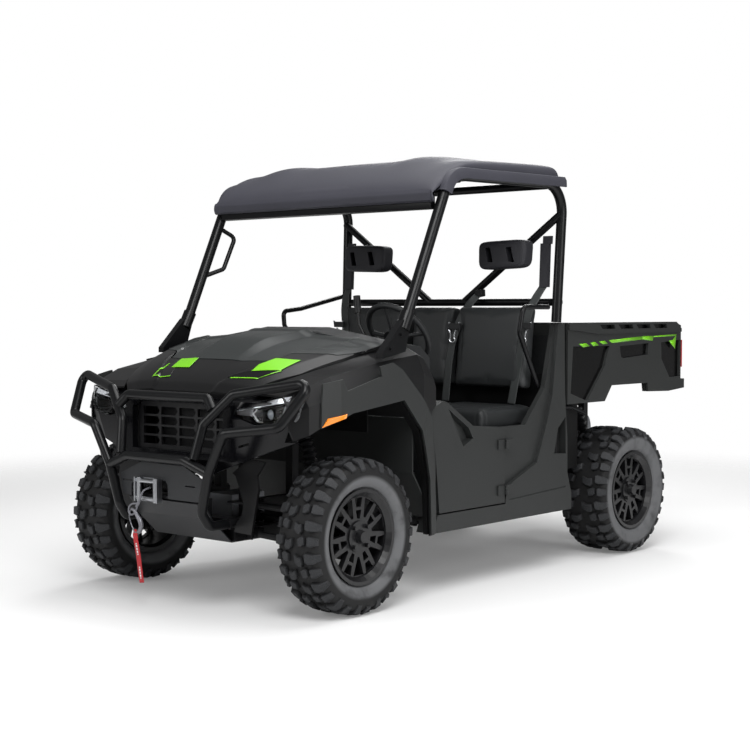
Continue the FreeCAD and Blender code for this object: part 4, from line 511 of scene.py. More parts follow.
# seats: each pad is a rounded block, blown up by cloth pressure and capped
pads = {"voxel": .0058, "coarse": 3, "fine": 1.6, "pressure": 4, "frames": 20, "cap": .012, "fill": .8,
        "seam": .006, "seamWidth": .004, "segments": 4, "profile": .6,
        # x and z of both corners, rounding, lean in degrees, and a sewn line across the front as axis and place
        "back": {"x": (-.262, -.19), "z": (.876, 1.298), "rounding": .022, "lean": 6, "seams": []},
        "cushion": {"x": (-.282, .164), "z": (.706, .796), "rounding": .024, "lean": 0, "seams": [(0, .118)]},
        # kind, name, y of both sides, distance of the sewn lines from them, and the node it replaces
        "rows": [("back", "left", .16, .61, .049, None), ("back", "middle", -.141, .141, .024, "seat_backs"),
                 ("back", "right", -.61, -.16, .049, None), ("cushion", "long", -.612, .13, .042, None),
                 ("cushion", "short", .156, .612, .042, "seat_cushions")]}


def padBlock(name, given, near, far):
    # rounded slab between two corners, leaned about its lower rear edge
    low, high = np.transpose([given["x"], (near, far), given["z"]])
    lean = math.radians(given["lean"])
    mesh = bpy.data.meshes.new(name)
    shape = bmesh.new()
    bmesh.ops.create_cube(shape, size=1)
    bmesh.ops.scale(shape, vec=Vector(high - low), verts=shape.verts)
    bmesh.ops.bevel(shape, geom=list(shape.edges), offset=given["rounding"], segments=pads["segments"],
                    profile=pads["profile"], affect="EDGES")
    shape.to_mesh(mesh)
    shape.free()
    made = linked(name, mesh)
    middle = (high + low) / 2
    pivot = np.array([low[0], middle[1], low[2]])
    x, y, z = (readPoints(made) + middle - pivot).T
    turned = [x * math.cos(lean) - z * math.sin(lean), y, x * math.sin(lean) + z * math.cos(lean)]
    writePoints(made, np.stack(turned, -1) + pivot)
    mesh.materials.append(finishes["vinyl"])
    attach(made, "chassis")
    return made


def blowUp(made):
    # remesh, inflate as cloth, cap the travel of every point, keep the result
    scene = bpy.context.scene
    remesh = made.modifiers.new("remesh", "REMESH")
    remesh.mode = "VOXEL"
    remesh.voxel_size = pads["voxel"] * pads["fine"]
    applyAll(made)
    before = readPoints(made)
    cloth = made.modifiers.new("cloth", "CLOTH")
    cloth.settings.use_pressure = True
    cloth.settings.uniform_pressure_force = pads["pressure"]
    cloth.settings.effector_weights.gravity = 0
    cloth.point_cache.frame_start = 1
    cloth.point_cache.frame_end = pads["frames"]
    for frameNumber in range(1, pads["frames"] + 1):
        scene.frame_set(frameNumber)
    applyAll(made)
    scene.frame_set(1)
    move = readPoints(made) - before
    far = np.linalg.norm(move, axis=1, keepdims=True)
    writePoints(made, before + move * np.minimum(1, pads["cap"] / np.maximum(far, 1e-9)))
    made.data.polygons.foreach_set("use_smooth", [True] * len(made.data.polygons))


def sewn(made, seams):
    # every point sinks towards the middle near a seam: the depth falls as a bell over the seam's width
    place = readPoints(made)
    inward = (place.min(0) + place.max(0)) / 2 - place
    inward /= np.linalg.norm(inward, axis=1, keepdims=True) + 1e-9
    sink = np.max([np.exp(-((place[:, axis] - at) / pads["seamWidth"]) ** 2) for axis, at in seams], 0)
    writePoints(made, place + inward * (sink * pads["seam"])[:, None])


def addSeats():
    for kind, name, near, far, inset, node in pads["rows"]:
        made = padBlock("seat_%s_%s" % (kind, name), pads[kind], near, far)
        blowUp(made)
        sewn(made, [(1, near + inset), (1, far - inset), *pads[kind]["seams"]])
        if node:
            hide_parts(node)
    print("seats sewn")


addSeats()

# hood and cowl: one height surface over the plan, cut into two panels with a seam between them
hood = {"wall": .006, "seam": .0035, "rear": .9, "bevel": (.0015, 2, 50), "cowlNet": (70, 121), "net": (90, 40),
        "table": {"x": 220, "y": 401, "reach": .8, "margin": .02, "soften": .0035},
        # in mm: x, then y and z of outer edge, ridge outside, ridge inside, ridge foot, scoop foot, scoop top, middle
        "rows": [
            (1508, 372, 905, 300, 919, 190, 927, 180, 921, 120, 923, 80, 924, 0, 925),
            (1470, 412, 947, 330, 961, 205, 971, 193, 962, 130, 964, 90, 965, 0, 966),
            (1310, 520, 1005, 440, 1031, 325, 1053, 310, 1043, 175, 1053, 120, 1058, 0, 1059),
            (1110, 585, 1067, 520, 1091, 400, 1113, 385, 1105, 200, 1125, 135, 1153, 0, 1156),
            (906, 628, 1116, 580, 1130, 480, 1146, 465, 1140, 230, 1158, 165, 1182, 0, 1185),
        ],
        # outlines in plan, each seam point's step back from the cowl, and the skirt below the outer edge
        "cowl": [(1.3095, 0), (1.3085, .16), (1.274, .322), (1.212, .356), (1.108, .545), (1, .612), (.898, .622)],
        "outer": [(1.506, 0), (1.504, .3), (1.5, .366), (1.47, .409), (1.31, .517), (1.11, .582), (.898, .625)],
        "back": [(1.6, 0), (1.6, 0), (1.4, 1), (1.4, 1), (1.4, 1), (0, 1), (0, 1)],
        "skirt": [(-.001, -.0005, -.006), (-.003, -.001, -.028)],
        # corner trays: an edge in y where x is the second value, and its slope; then their ends in x
        "trays": {"inner": (.335, 1.2, .55), "outer": (.3, 1.24, .98), "from": .985, "to": 1.17, "depth": .006,
                  "soft": .004},
        "ledge": {"x": .936, "rise": .007, "soft": .003}}


def smoothRows(values, at, knots):
    # cubic through the knots; its slope at a knot is the harmonic mean of the slopes before and after it, and
    # 0 where they turn
    order = np.argsort(knots)
    x, v = knots[order], values[order]
    step = np.diff(v, axis=0) / np.diff(x)[:, None]
    product, total = step[1:] * step[:-1], step[1:] + step[:-1]
    inner = np.where(product > 0, 2 * product / np.where(total == 0, 1, total), 0)
    slope = np.concatenate([step[:1], inner, step[-1:]])
    i = np.clip(np.searchsorted(x, at) - 1, 0, len(x) - 2)
    h = (x[i + 1] - x[i])[:, None]
    t = ((at - x[i]) / h[:, 0])[:, None]
    return ((2 * t ** 3 - 3 * t ** 2 + 1) * v[i] + (t ** 3 - 2 * t ** 2 + t) * h * slope[i]
            + (3 * t ** 2 - 2 * t ** 3) * v[i + 1] + (t ** 3 - t ** 2) * h * slope[i + 1])


def heightTable(rows, given):
    # z over the plan: rows joined smoothly along x, and softened across y by a short running mean
    rows = np.array(rows) / 1000
    x = np.linspace(rows[-1, 0] - given["margin"], rows[0, 0] + given["margin"], given["x"])
    y = np.linspace(0, given["reach"], given["y"])
    places, heights = (smoothRows(rows[:, k::2], x, rows[:, 0]) for k in (1, 2))
    z = np.stack([np.interp(y, place[::-1], height[::-1]) for place, height in zip(places, heights)])
    width = int(given["soften"] / y[1]) * 2 + 1
    padded = np.concatenate([z[:, width:0:-1], z, np.repeat(z[:, -1:], width, 1)], 1)
    return x, y, np.stack([np.convolve(row, bell(width + 2), "same") for row in padded])[:, width:-width]


def heightAt(table, x, y):
    # mean of the four nearest points of the table, each weighted by how near it is
    rows, columns, z = table
    fx, fy = (np.clip((value - line[0]) / (line[1] - line[0]), 0, len(line) - 1.001)
              for value, line in ((x, rows), (np.abs(y), columns)))
    i, k = fx.astype(int), fy.astype(int)
    a, b = fx - i, fy - k
    return ((1 - a) * (1 - b) * z[i, k] + a * (1 - b) * z[i + 1, k]
            + (1 - a) * b * z[i, k + 1] + a * b * z[i + 1, k + 1])


hoodHeights = heightTable(hood["rows"], hood["table"])


def soft(value, width):
    # 0 well below zero, 1 well above it, with a slope this wide between
    return 1 / (1 + np.exp(-value / width))


def shell(name, grid, word, node):
    # thin panel from a grid of points on its outer face
    made = outwards(addMesh(name, grid, gridFaces(*grid.shape[:2]), word))
    bevelled(walled(made, hood["wall"]), *hood["bevel"])
    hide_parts(node)


def addHood():
    # cowl: rows across, widening to the rear, with the corner trays and the ledge under the windscreen
    line = np.array(hood["cowl"][1:])
    run = runOf(line)
    rows, columns = hood["cowlNet"]
    edge = pointsAt(line, np.unique(np.concatenate([np.linspace(0, run[-1], rows), run])), run)
    x = np.repeat(edge[:, :1], columns, 1)
    y = edge[:, 1:] * np.linspace(-1, 1, columns)
    trays, ledge = hood["trays"], hood["ledge"]
    inner, outer = (np.abs(y) - start - (at - x) * slope for start, at, slope in (trays["inner"], trays["outer"]))
    tray = soft(inner, trays["soft"]) * soft(-outer, trays["soft"]) * (x > trays["from"]) * (x < trays["to"])
    z = heightAt(hoodHeights, x, y) - trays["depth"] * tray + ledge["rise"] * soft(ledge["x"] - x, ledge["soft"])
    shell("cowl_panel", joined(x, y, z), "cowl", "cowl")
    # hood: from the cowl's edge, set back by the seam, out to the fender line; both halves meet in the middle
    rows, columns = hood["net"]
    lines = np.array(hood["cowl"]) + hood["seam"] * np.array(hood["back"]), np.array(hood["outer"])
    near, far = (pointsAt(line, np.linspace(0, 1, rows) * runOf(line)[-1], runOf(line)) for line in lines)
    far[-1, 0] = near[-1, 0] = hood["rear"]
    plan = near[:, None] + (far - near)[:, None] * np.linspace(0, 1, columns)[:, None]
    grid = np.concatenate([plan, heightAt(hoodHeights, plan[..., 0], plan[..., 1])[..., None]], -1)
    grid = np.concatenate([grid, grid[:, -1:] + np.array(hood["skirt"])], 1)
    shell("hood_panel", np.concatenate([mirrored(grid[::-1], -1), grid[1:]]), "hoodBlack", "hood")


addHood()
print("hood shaped")

# roof: control rows refined by subdivision
roof = {"wall": .007, "levels": 3, "visorBevel": (.0022, 3, 40), "flangeBevel": (.004, 3), "headerBevel": .003,
        # upper edge of the front plate: distance from the middle and height
        "visorTop": [(0, 1.858), (.156, 1.857), (.236, 1.826), (.62, 1.814), (.69, 1.806)],
        "visorLow": 1.753, "visorLift": .006, "visorWall": .009, "visorNet": (16, 70),
        # the roof's front for that plate: its first rows, and the column that holds z on the flat of a side
        "frontRows": 7, "frontColumn": 8,
        "header": [(.596, 1.722), (.628, 1.726), (.634, 1.752), (.622, 1.796), (.6, 1.8)], "headerHalf": .672,
        # middle line of the cage tube beside the roof: pillar, then the roof run, and the corner between them
        "line": [(.575, .7037, 1.794), (.566, .704, 1.814), (.44, .704, 1.881), (-.352, .708, 1.893)],
        "corner": (.535, .704, 1.88), "steps": (12, 18, 40),
        # hooked section: out from the tube, and sideways from its middle line
        "flange": [(.03, -.03), (.038, .004), (.034, .026), (.016, .035), (-.014, .036), (-.016, .031), (.014, .03),
                   (.027, .02), (.03, 0), (.026, -.03)],
        # in mm: x, then y and z from the outer edge to the middle
        "rows": [
            (640, 700, 1752, 699, 1753, 662, 1753, 560, 1754, 500, 1754, 390, 1755, 330, 1755, 0, 1756),
            (652, 700, 1756, 699, 1758, 662, 1759, 560, 1760, 500, 1760, 390, 1761, 330, 1761, 0, 1762),
            (659, 700, 1785, 699, 1788, 662, 1790, 560, 1792, 500, 1792, 390, 1800, 330, 1802, 0, 1803),
            (650, 700, 1797, 699, 1804, 662, 1809, 560, 1811, 500, 1812, 390, 1813, 330, 1813, 0, 1814),
            (632, 702, 1806, 701, 1821, 662, 1832, 560, 1838, 500, 1839, 390, 1840, 330, 1840, 0, 1842),
            (600, 706, 1832, 703, 1850, 662, 1862, 560, 1869, 500, 1871, 390, 1872, 330, 1872, 0, 1875),
            (534, 710, 1885, 706, 1898, 664, 1909, 566, 1912, 500, 1918, 390, 1922, 330, 1918, 0, 1922),
            (441, 712, 1912, 709, 1938, 664, 1953, 572, 1951, 506, 1972, 386, 1980, 320, 1966, 0, 1972),
            (366, 712, 1918, 709, 1948, 662, 1961, 574, 1961, 508, 1988, 384, 1997, 316, 1976, 0, 1984),
            (240, 712, 1921, 709, 1957, 660, 1970, 576, 1968, 510, 1996, 384, 2003, 314, 1986, 0, 1999),
            (-40, 712, 1921, 709, 1967, 658, 1981, 578, 1973, 512, 1997, 384, 2003, 314, 1989, 0, 2002),
            (-290, 712, 1921, 707, 1973, 656, 1989, 578, 1978, 512, 1994, 384, 2000, 314, 1988, 0, 2000),
            (-340, 700, 1921, 697, 1966, 650, 1982, 578, 1972, 512, 1984, 384, 1988, 314, 1978, 0, 1990),
            (-360, 690, 1922, 686, 1942, 640, 1958, 578, 1956, 512, 1962, 384, 1964, 314, 1962, 0, 1964),
        ]}


def addFlange(side, word):
    # side flange over the cage tube: a hooked section carried along the tube's bent line
    low, bend, high = roof["steps"]
    first, last = (np.linspace(roof["line"][k], roof["line"][k + 1], count) for k, count in ((0, low), (2, high)))
    t = np.linspace(0, 1, bend)[1:-1, None]
    bend = first[-1] * (1 - t) ** 2 + np.array(roof["corner"]) * 2 * t * (1 - t) + last[0] * t ** 2
    line = np.concatenate([first, bend, last])
    along = unit(np.gradient(line, axis=0))
    out = joined(-along[:, 2], np.zeros(len(line)), along[:, 0])
    out *= np.sign(out[:, 2:3])
    section = np.array(roof["flange"])
    grid = line[:, None] + out[:, None] * section[None, :, :1]
    grid[..., 1] = side * (line[:, None, 1] + section[None, :, 1])
    made = addMesh("roof_flange_" + word, grid, tubeFaces(*grid.shape[:2]), "roof")
    bevelled(outwards(made), *roof["flangeBevel"])


def addVisor():
    # plate standing proud of the roof's front, with a stepped upper edge
    places, heights = np.array(roof["visorTop"]).T
    rows, columns = roof["visorNet"]
    y = np.sort(np.concatenate([np.linspace(-places[-1], places[-1], columns), places[1:3], -places[1:3]]))
    low = roof["visorLow"]
    z = low + np.linspace(0, 1, rows)[:, None] * (np.interp(np.abs(y), places, heights) - low)
    front = np.array(roof["rows"][:roof["frontRows"]]) / 1000
    x = np.interp(z, front[:, roof["frontColumn"]], front[:, 0]) + roof["visorLift"]
    grid = joined(x, y, z)
    made = outwards(addMesh("roof_visor", grid, gridFaces(*z.shape), "roof"))
    bevelled(walled(made, roof["visorWall"]), *roof["visorBevel"])


def addRoof():
    rows = np.array(roof["rows"]) / 1000
    half = joined(rows[:, :1], rows[:, 1::2], rows[:, 2::2])
    net = np.concatenate([mirrored(half[:, :-1], -1), half[:, ::-1]], 1)
    made = outwards(addMesh("roof_shell", net, gridFaces(*net.shape[:2]), "roof"))
    fine = made.modifiers.new("smooth", "SUBSURF")
    fine.levels = fine.render_levels = roof["levels"]
    walled(made, roof["wall"])
    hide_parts("roof_panel")
    for side, word in sides:
        addFlange(side, word)
    prism("roof_header", roof["header"], -roof["headerHalf"], roof["headerHalf"], 1, "tube", roof["headerBevel"])
    addVisor()
    print("roof shaped")


addRoof()

# lamps: bowl, light bar, chevrons and projector behind a clear skin
lamp = {"wall": .0025, "bowlWall": .002, "back": 1.4, "setBack": .006, "net": (40, 12), "plateNet": (24, 8),
        "bevel": (.0008, 2, 50),
        # y, lower z, upper z, x at the lower edge, lean back with height
        "skin": [(.338, .838, .871, 1.524, .3), (.436, .833, .898, 1.521, .3), (.47, .808, .903, 1.519, .26),
                 (.5, .802, .908, 1.516, .22), (.568, .811, .919, 1.512, .15), (.606, .844, .926, 1.502, .13),
                 (.63, .922, .931, 1.478, .2)],
        # mouth of the bowl: from and to across, from and to up, points; then its rings: share back, and size
        "rim": [(0, 1, .03, .03, 20), (1, 1, .1, .9, 4), (1, 0, .6, .6, 20), (0, 0, .55, .1, 4)],
        "bowl": [(0, 1), (.25, .97), (.6, .9), (.85, .8), (1, .55), (1, .02)],
        # name, finish, distance behind the lens, thickness, corners as y and z
        "plates": [
            ("bar_%s", "lampSilver", .007, .0035, [(.343, .852), (.618, .9), (.625, .924), (.343, .865)]),
            ("lip_%s", "lampGrey", .014, .003, [(.344, .84), (.432, .838), (.432, .868), (.344, .853)]),
            ("chevron_%s_0", "lampGrey", .012, .003, [(.434, .846), (.441, .848), (.474, .815), (.467, .811)]),
            ("chevron_%s_1", "lampGrey", .012, .003, [(.434, .846), (.441, .846), (.464, .876), (.457, .876)]),
            ("chevron_%s_2", "lampGrey", .012, .003, [(.584, .826), (.588, .83), (.606, .882), (.601, .882)]),
        ],
        # projector: y, z and radius, and x of the glass and of its ring; a dome this flat, between two turns
        "projector": (.49, .843, .022), "glassAt": 1.462, "ringAt": 1.458, "dome": .62, "turns": (.25, 1.5),
        "depth": -.03, "tip": (.0001, .2), "domeSteps": 10,
        "ring": [(-.03, 1.02), (.003, 1.04), (.005, 1.08), (.003, 1.13), (-.008, 1.18), (-.03, 1.2)],
        # serrated strip down the corner behind the lamp: middle line, width along it, section as share of the
        # width and height, where 1 is the toothed face
        "strip": {"line": [(1.407, .651, .957), (1.447, .667, .896), (1.472, .657, .835), (1.48, .65, .822)],
                  "at": [0, .45, .78, 1], "width": [.003, .009, .012, .008], "tooth": .003, "teeth": 10, "rows": 41,
                  "out": (.78, .58, .22), "lift": .0015, "face": .0035,
                  "section": [(-.5, -.004), (-.5, 0), (-.3, 1), (.3, 1), (.5, 0), (.5, -.004)]}}


def lensAt(y, z, setBack):
    # x of the lens at its lower edge, less the lean times the height above that edge, less the set back
    rows = np.array(lamp["skin"])
    low, x, lean = (np.interp(y, rows[:, 0], rows[:, k]) for k in (1, 3, 4))
    return x - lean * (z - low) - setBack


def lampSkin(across, up, setBack=0):
    # point of the lens: across along y, up from lower to upper edge
    rows = np.array(lamp["skin"])
    y = rows[0, 0] + (rows[-1, 0] - rows[0, 0]) * across
    low, high = (np.interp(y, rows[:, 0], rows[:, k]) for k in (1, 2))
    z = low + (high - low) * up
    return joined(lensAt(y, z, setBack), y, z)


def lampSheet(name, grid, word, side, wall):
    # sheet of points for the left side, mirrored for the right so that it still faces forward
    grid = mirrored(grid, side)
    return walled(addMesh(name, grid if side > 0 else grid[::-1], gridFaces(*grid.shape[:2]), word), wall)


def turnedPart(name, centre, profile, word, side, count=40):
    # profile of distance forward and radius, carried round an axis along x
    forward, radius = np.array(profile).T[:, :, None]
    turn = circle(count)
    grid = joined(centre[0] + forward, side * centre[1] + radius * np.cos(turn), centre[2] + radius * np.sin(turn))
    outwards(addMesh(name, grid, gridFaces(len(profile), count, closeColumns=True), word))


def addStrip(side, word, given):
    t = np.linspace(0, 1, given["rows"])
    line = pointsAt(given["line"], t, given["at"])
    wide, height = np.array(given["section"]).T
    out = np.array(given["out"])
    across = unit(np.cross(out, np.subtract(given["line"][-1], given["line"][0])))
    tooth = np.abs(t * given["teeth"] % 1 - .5) * 2 * given["tooth"]
    rise = np.where(height > .5, given["face"] - given["lift"] + tooth[:, None], height) + given["lift"]
    width = np.interp(t, given["at"], given["width"])[:, None] * wide
    grid = mirrored(line[:, None] + across * width[..., None] + out * rise[..., None], side)
    outwards(addMesh("lamp_strip_" + word, grid, tubeFaces(*width.shape), "lampGrey", smooth=False))


def addHeadlight(side, word):
    lens = lampSheet("lamp_lens_" + word, lampSkin(*unitGrid(*lamp["net"])), "clear", side, lamp["wall"])
    # bowl: a dark tray that follows the lens outline and ends on a flat back
    rim = np.concatenate([lampSkin(np.linspace(a, b, count), np.linspace(low, high, count), lamp["setBack"])
                          for a, b, low, high, count in lamp["rim"]])
    share, size = np.array(lamp["bowl"]).T[:, :, None, None]
    flat = np.array([lamp["back"], *rim.mean(0)[1:]])
    rings = flat + (rim - flat) * np.concatenate([1 - share, size, size], -1)
    faces = gridFaces(*rings.shape[:2], closeColumns=True)
    walled(addMesh("lamp_bowl_" + word, mirrored(rings, side), faces, "liner"), lamp["bowlWall"], 0)
    for label, paint, lift, wall, corners in lamp["plates"]:
        y, z = np.moveaxis(blended(corners, *unitGrid(*lamp["plateNet"])), -1, 0)
        grid = joined(lensAt(y, z, lift), y, z)
        bevelled(lampSheet("lamp_" + label % word, grid, paint, side, wall), *lamp["bevel"])
    y, z, radius = lamp["projector"]
    turn, dome = np.linspace(*lamp["turns"], lamp["domeSteps"]), lamp["dome"]
    point, flat = lamp["tip"]
    glass = [(0, point), (0, radius * flat), *zip(radius * dome * (np.cos(turn) - 1), radius * np.sin(turn)),
             (lamp["depth"], radius)]
    turnedPart("projector_" + word, (lamp["glassAt"], y, z), glass, "lampGlass", side)
    ring = [(forward, radius * scale) for forward, scale in lamp["ring"]]
    turnedPart("projector_ring_" + word, (lamp["ringAt"], y, z), ring, "gloss", side)
    if side > 0:
        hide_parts("headlights")
    addStrip(side, word, lamp["strip"])


for side, word in sides:
    addHeadlight(side, word)
print("lamps built")

# coloured film on the hood and the bed, and the amber side markers
film = {"lift": .0016, "greenLift": 2.2, "wall": .0006, "net": (30, 30), "markerNet": (9, 5),
        # hood: corners in plan, x and y, of each patch and its finish
        "hood": [("green", [(1.389, .309), (1.286, .305), (1.239, .456), (1.341, .433)]),
                 ("filmBlack", [(1.443, .205), (1.389, .3), (1.339, .434), (1.424, .379)]),
                 ("green", [(1.449, .241), (1.444, .242), (1.419, .381), (1.424, .382)]),
                 ("green", [(1.424, .379), (1.419, .381), (1.338, .436), (1.341, .441)]),
                 ("green", [(1.382, -.205), (1.304, -.224), (1.31, -.105), (1.386, -.084)]),
                 ("filmBlack", [(1.455, -.24), (1.345, -.262), (1.304, -.224), (1.447, -.142)]),
                 ("green", [(1.457, -.247), (1.343, -.264), (1.344, -.256), (1.457, -.24)]),
                 ("green", [(1.457, -.247), (1.452, -.247), (1.442, -.142), (1.447, -.142)])],
        # bed side: corners as x and z on the panel's outer plane
        "bedPlane": .6905,
        "bed": [[(-.551, 1.104), (-.616, 1.107), (-.654, 1.092), (-.591, 1.086)],
                [(-.657, 1.109), (-.703, 1.112), (-.74, 1.095), (-.685, 1.091)],
                [(-.739, 1.114), (-.795, 1.117), (-.824, 1.102), (-.778, 1.099)],
                [(-.834, 1.119), (-1.173, 1.135), (-1.173, 1.118), (-.866, 1.104)],
                [(-1.173, 1.135), (-1.294, 1.136), (-1.283, 1.11), (-1.173, 1.118)],
                [(-1.294, 1.136), (-1.545, 1.143), (-1.54, 1.134), (-1.29, 1.129)],
                [(-1.459, 1.107), (-1.501, 1.111), (-1.54, 1.14), (-1.526, 1.062)]],
        # marker: bottom rear, bottom front, top front and top rear; it starts this far outside them
        "marker": [(1.391, .706, .794), (1.28, .742, .83), (1.272, .742, .848), (1.364, .723, .829)],
        "markerOut": .01, "markerWall": .014, "markerBevel": (.0022, 3, 40)}


def filmPatch(name, grid, word, body, wall, facing):
    # thin patch over a grid; turned so that it faces the way given
    side = np.cross(grid[-1, 0] - grid[0, 0], grid[0, -1] - grid[0, 0])
    grid = grid if np.dot(side, facing) < 0 else grid[::-1]
    return walled(addMesh(name, grid, gridFaces(*grid.shape[:2]), word, body), wall, 1)


def addFilm():
    for index, (paint, corners) in enumerate(film["hood"]):
        x, y = np.moveaxis(blended(corners, *unitGrid(*film["net"])), -1, 0)
        lift = film["lift"] * (film["greenLift"] if paint == "green" else 1)
        grid = joined(x, y, heightAt(hoodHeights, x, y) + lift)
        filmPatch("hood_film_%d" % index, grid, paint, "chassis", film["wall"], (0, 0, 1))
    for side, word in sides:
        for index, corners in enumerate(film["bed"]):
            grid = np.insert(blended(corners, *unitGrid(2, 2)), 1, side * film["bedPlane"], -1)
            filmPatch("bed_film_%s_%d" % (word, index), grid, "green", "bed", film["wall"], (0, side, 0))
        grid = blended(film["marker"], *unitGrid(*film["markerNet"]))
        grid = mirrored(grid + np.array([0, film["markerOut"], 0]), side)
        marker = filmPatch("marker_" + word, grid, "amber", "chassis", film["markerWall"], (0, side, 0))
        bevelled(marker, *film["markerBevel"])


addFilm()
print("film laid")

# winch rope, hook with its latch, and the pull strap
winch = {"route": [(1.6255, -.066, .512), (1.662, -.068, .511), (1.664, -.088, .472), (1.661, -.116, .428)],
         "thickness": .008, "length": .118, "order": 3, "resolution": 16, "roundness": 5,
         # y and z of the parts that hang in one plane
         "plane": 1.661,
         "eye": [(-.112, .44), (-.138, .441), (-.162, .43), (-.169, .406), (-.155, .392), (-.136, .398), (-.12, .416)],
         "hook": [(-.15, .418), (-.134, .414), (-.116, .396), (-.094, .37), (-.088, .345), (-.102, .323),
                  (-.122, .319), (-.138, .33)],
         "latch": [(-.158, .412), (-.165, .384), (-.153, .352), (-.138, .33)],
         "splice": [(1.662, -.098, .456), (1.661, -.108, .442), (1.661, -.118, .43)],
         "eyeThick": .0042, "hookThick": [.0065, .0075, .0085, .0105, .0105, .0095, .0075, .004], "latchThick": .003,
         "spliceThick": [.0055, .0075, .006],
         # strap: middle line, width, and share of the width at the hook, which grows along it; lean in degrees
         "strap": [(1.664, -.124, .332), (1.667, -.12, .312), (1.667, -.112, .272), (1.666, -.1, .205),
                   (1.664, -.089, .145), (1.664, -.081, .106)],
         "strapWidth": .032, "strapWall": .0026, "fold": .45, "unfold": 6, "lean": 9, "forward": .12,
         "wave": .0012, "waves": 9, "strapNet": (60, 7)}


def addRope():
    line = bpy.data.curves.new("winch_rope", "CURVE")
    line.dimensions = "3D"
    run = line.splines.new("NURBS")
    run.points.add(len(winch["route"]) - 1)
    run.points.foreach_set("co", np.array([(*point, 1) for point in winch["route"]]).ravel())
    run.order_u = winch["order"]
    run.use_endpoint_u = True
    run.resolution_u = winch["resolution"]
    line.bevel_depth = winch["thickness"] / 2
    line.bevel_resolution = winch["roundness"]
    line.use_fill_caps = True
    line.materials.append(finishes["rope"])
    rope = linked("winch_rope", line)
    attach(rope, "chassis")
    eyeLine, hookLine, latchLine = ([(winch["plane"], *p) for p in winch[word]] for word in ("eye", "hook", "latch"))
    eye = pathTube("rope_eye", eyeLine, winch["eyeThick"], "rope", closed=True)
    splice = pathTube("rope_splice", winch["splice"], winch["spliceThick"], "rope")
    hookPiece = pathTube("winch_hook_body", hookLine, winch["hookThick"], "hookSteel")
    latch = pathTube("hook_latch", latchLine, winch["latchThick"], "hookSteel")
    # strap: a slight wave down its length, folded narrow at the hook
    rows, columns = winch["strapNet"]
    t = np.linspace(0, 1, rows)
    share = runOf(winch["strap"])
    line = pointsAt(winch["strap"], t * share[-1], share)
    line[:, 0] += winch["wave"] * np.sin(t * winch["waves"])
    wide = winch["strapWidth"] / 2 * np.minimum(1, winch["fold"] + t * winch["unfold"])
    lean = math.radians(winch["lean"])
    across = np.linspace(-1, 1, columns)
    way = np.array([winch["forward"], math.cos(lean), math.sin(lean)])
    grid = line[:, None] + (across * wide[:, None])[..., None] * way
    uv = joined(across, t[:, None])
    strap = walled(addMesh("pull_strap", grid, gridFaces(rows, columns), "strap", uv=uv), winch["strapWall"], 0)
    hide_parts("winch_hook")
    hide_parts("hook_strap")


addRope()
print("winch rigged")

# duct behind the grille, dark backing behind openings, and the line behind the door
trim = {"ductWall": .002,
        # rings of the duct: x, half width, low and high
        "duct": [(1.474, .345, .625, .892), (1.492, .293, .647, .873), (1.412, .279, .642, .883)],
        # name, outline as y and z, plane of its front in x, thickness and bevel
        "linings": [
            ("firewall_lining", [(-.56, .74), (.56, .74), (.56, 1.05), (-.56, 1.05)], .93, .004, .0015),
            ("seat_backing", [(-.64, .72), (.64, .72), (.64, .96), (-.64, .96)], -.318, .003, .001),
        ],
        # name, outline as x and z, distance of its outer plane from the middle, thickness and bevel
        "panels": [
            ("door_seam_", [(.084, .338), (.0935, .338), (.0955, .72), (.086, .72)], .6812, .0022, 0),
            # painted shade: a near-black sheet behind the side vent stands in for the shade and the dark parts inside
            # it
            ("vent_shade_backing_", [(-.62, .47), (-.29, .47), (-.29, .8), (-.62, .8)], .64, .004, .0015),
        ]}


def addTrim():
    rings = [[(x, -half, low), (x, half, low), (x, half, high), (x, -half, high)]
             for x, half, low, high in trim["duct"]]
    duct = addMesh("grille_duct", rings, gridFaces(3, 4, closeColumns=True), "liner", smooth=False)
    walled(outwards(duct), trim["ductWall"], 0)
    for name, outline, plane, wall, bevel in trim["linings"]:
        prism(name, outline, plane - wall, plane, 0, "liner", bevel)
    for side, word in sides:
        for name, outline, plane, wall, bevel in trim["panels"]:
            low, high = sorted((side * plane, side * (plane - wall)))
            prism(name + word, outline, low, high, 1, "liner", bevel)


addTrim()
print("trim set")

# headrests, and belts with their latch plates
rest = {"centre": (-.246, .452, 1.55), "half": (.046, .144, .071), "power": .3, "rows": 28, "columns": 56,
        # how far the face bows forward, leans with height, is drawn in below, and twists
        "bow": .012, "tip": .004, "draw": .014, "twist": .004,
        # slots: offset and half width; height, lean and depth
        "slots": [(-.065, .016), (.062, .016)], "slotHeight": .036, "slotLean": .01, "slotFrom": -.002, "slotTo": .12,
        "bevel": (.0015, 2, 40),
        "clamp": {"half": (.045, .02), "from": -.066, "to": -.03, "bevel": .004}}
belt = {"width": .046, "thick": .0016, "net": (90, 9), "soften": 15, "facing": (1, 0, .1),
        # middle line of each strap
        "outer": [(-.306, .642, 1.398), (-.262, .636, 1.352), (-.226, .612, 1.28), (-.214, .594, 1.2),
                  (-.206, .582, 1.13), (-.192, .562, .98), (-.172, .542, .812)],
        "inner": [(-.318, .232, 1.356), (-.268, .22, 1.318), (-.226, .197, 1.25), (-.212, .174, 1.19),
                  (-.203, .15, 1.11), (-.194, .137, 1.02), (-.172, .131, .812)],
        "clamp": [(.208, 1.338), (.258, 1.346), (.256, 1.382), (.214, 1.376)], "clampFrom": -.344, "clampTo": -.308,
        "clampBevel": .004}
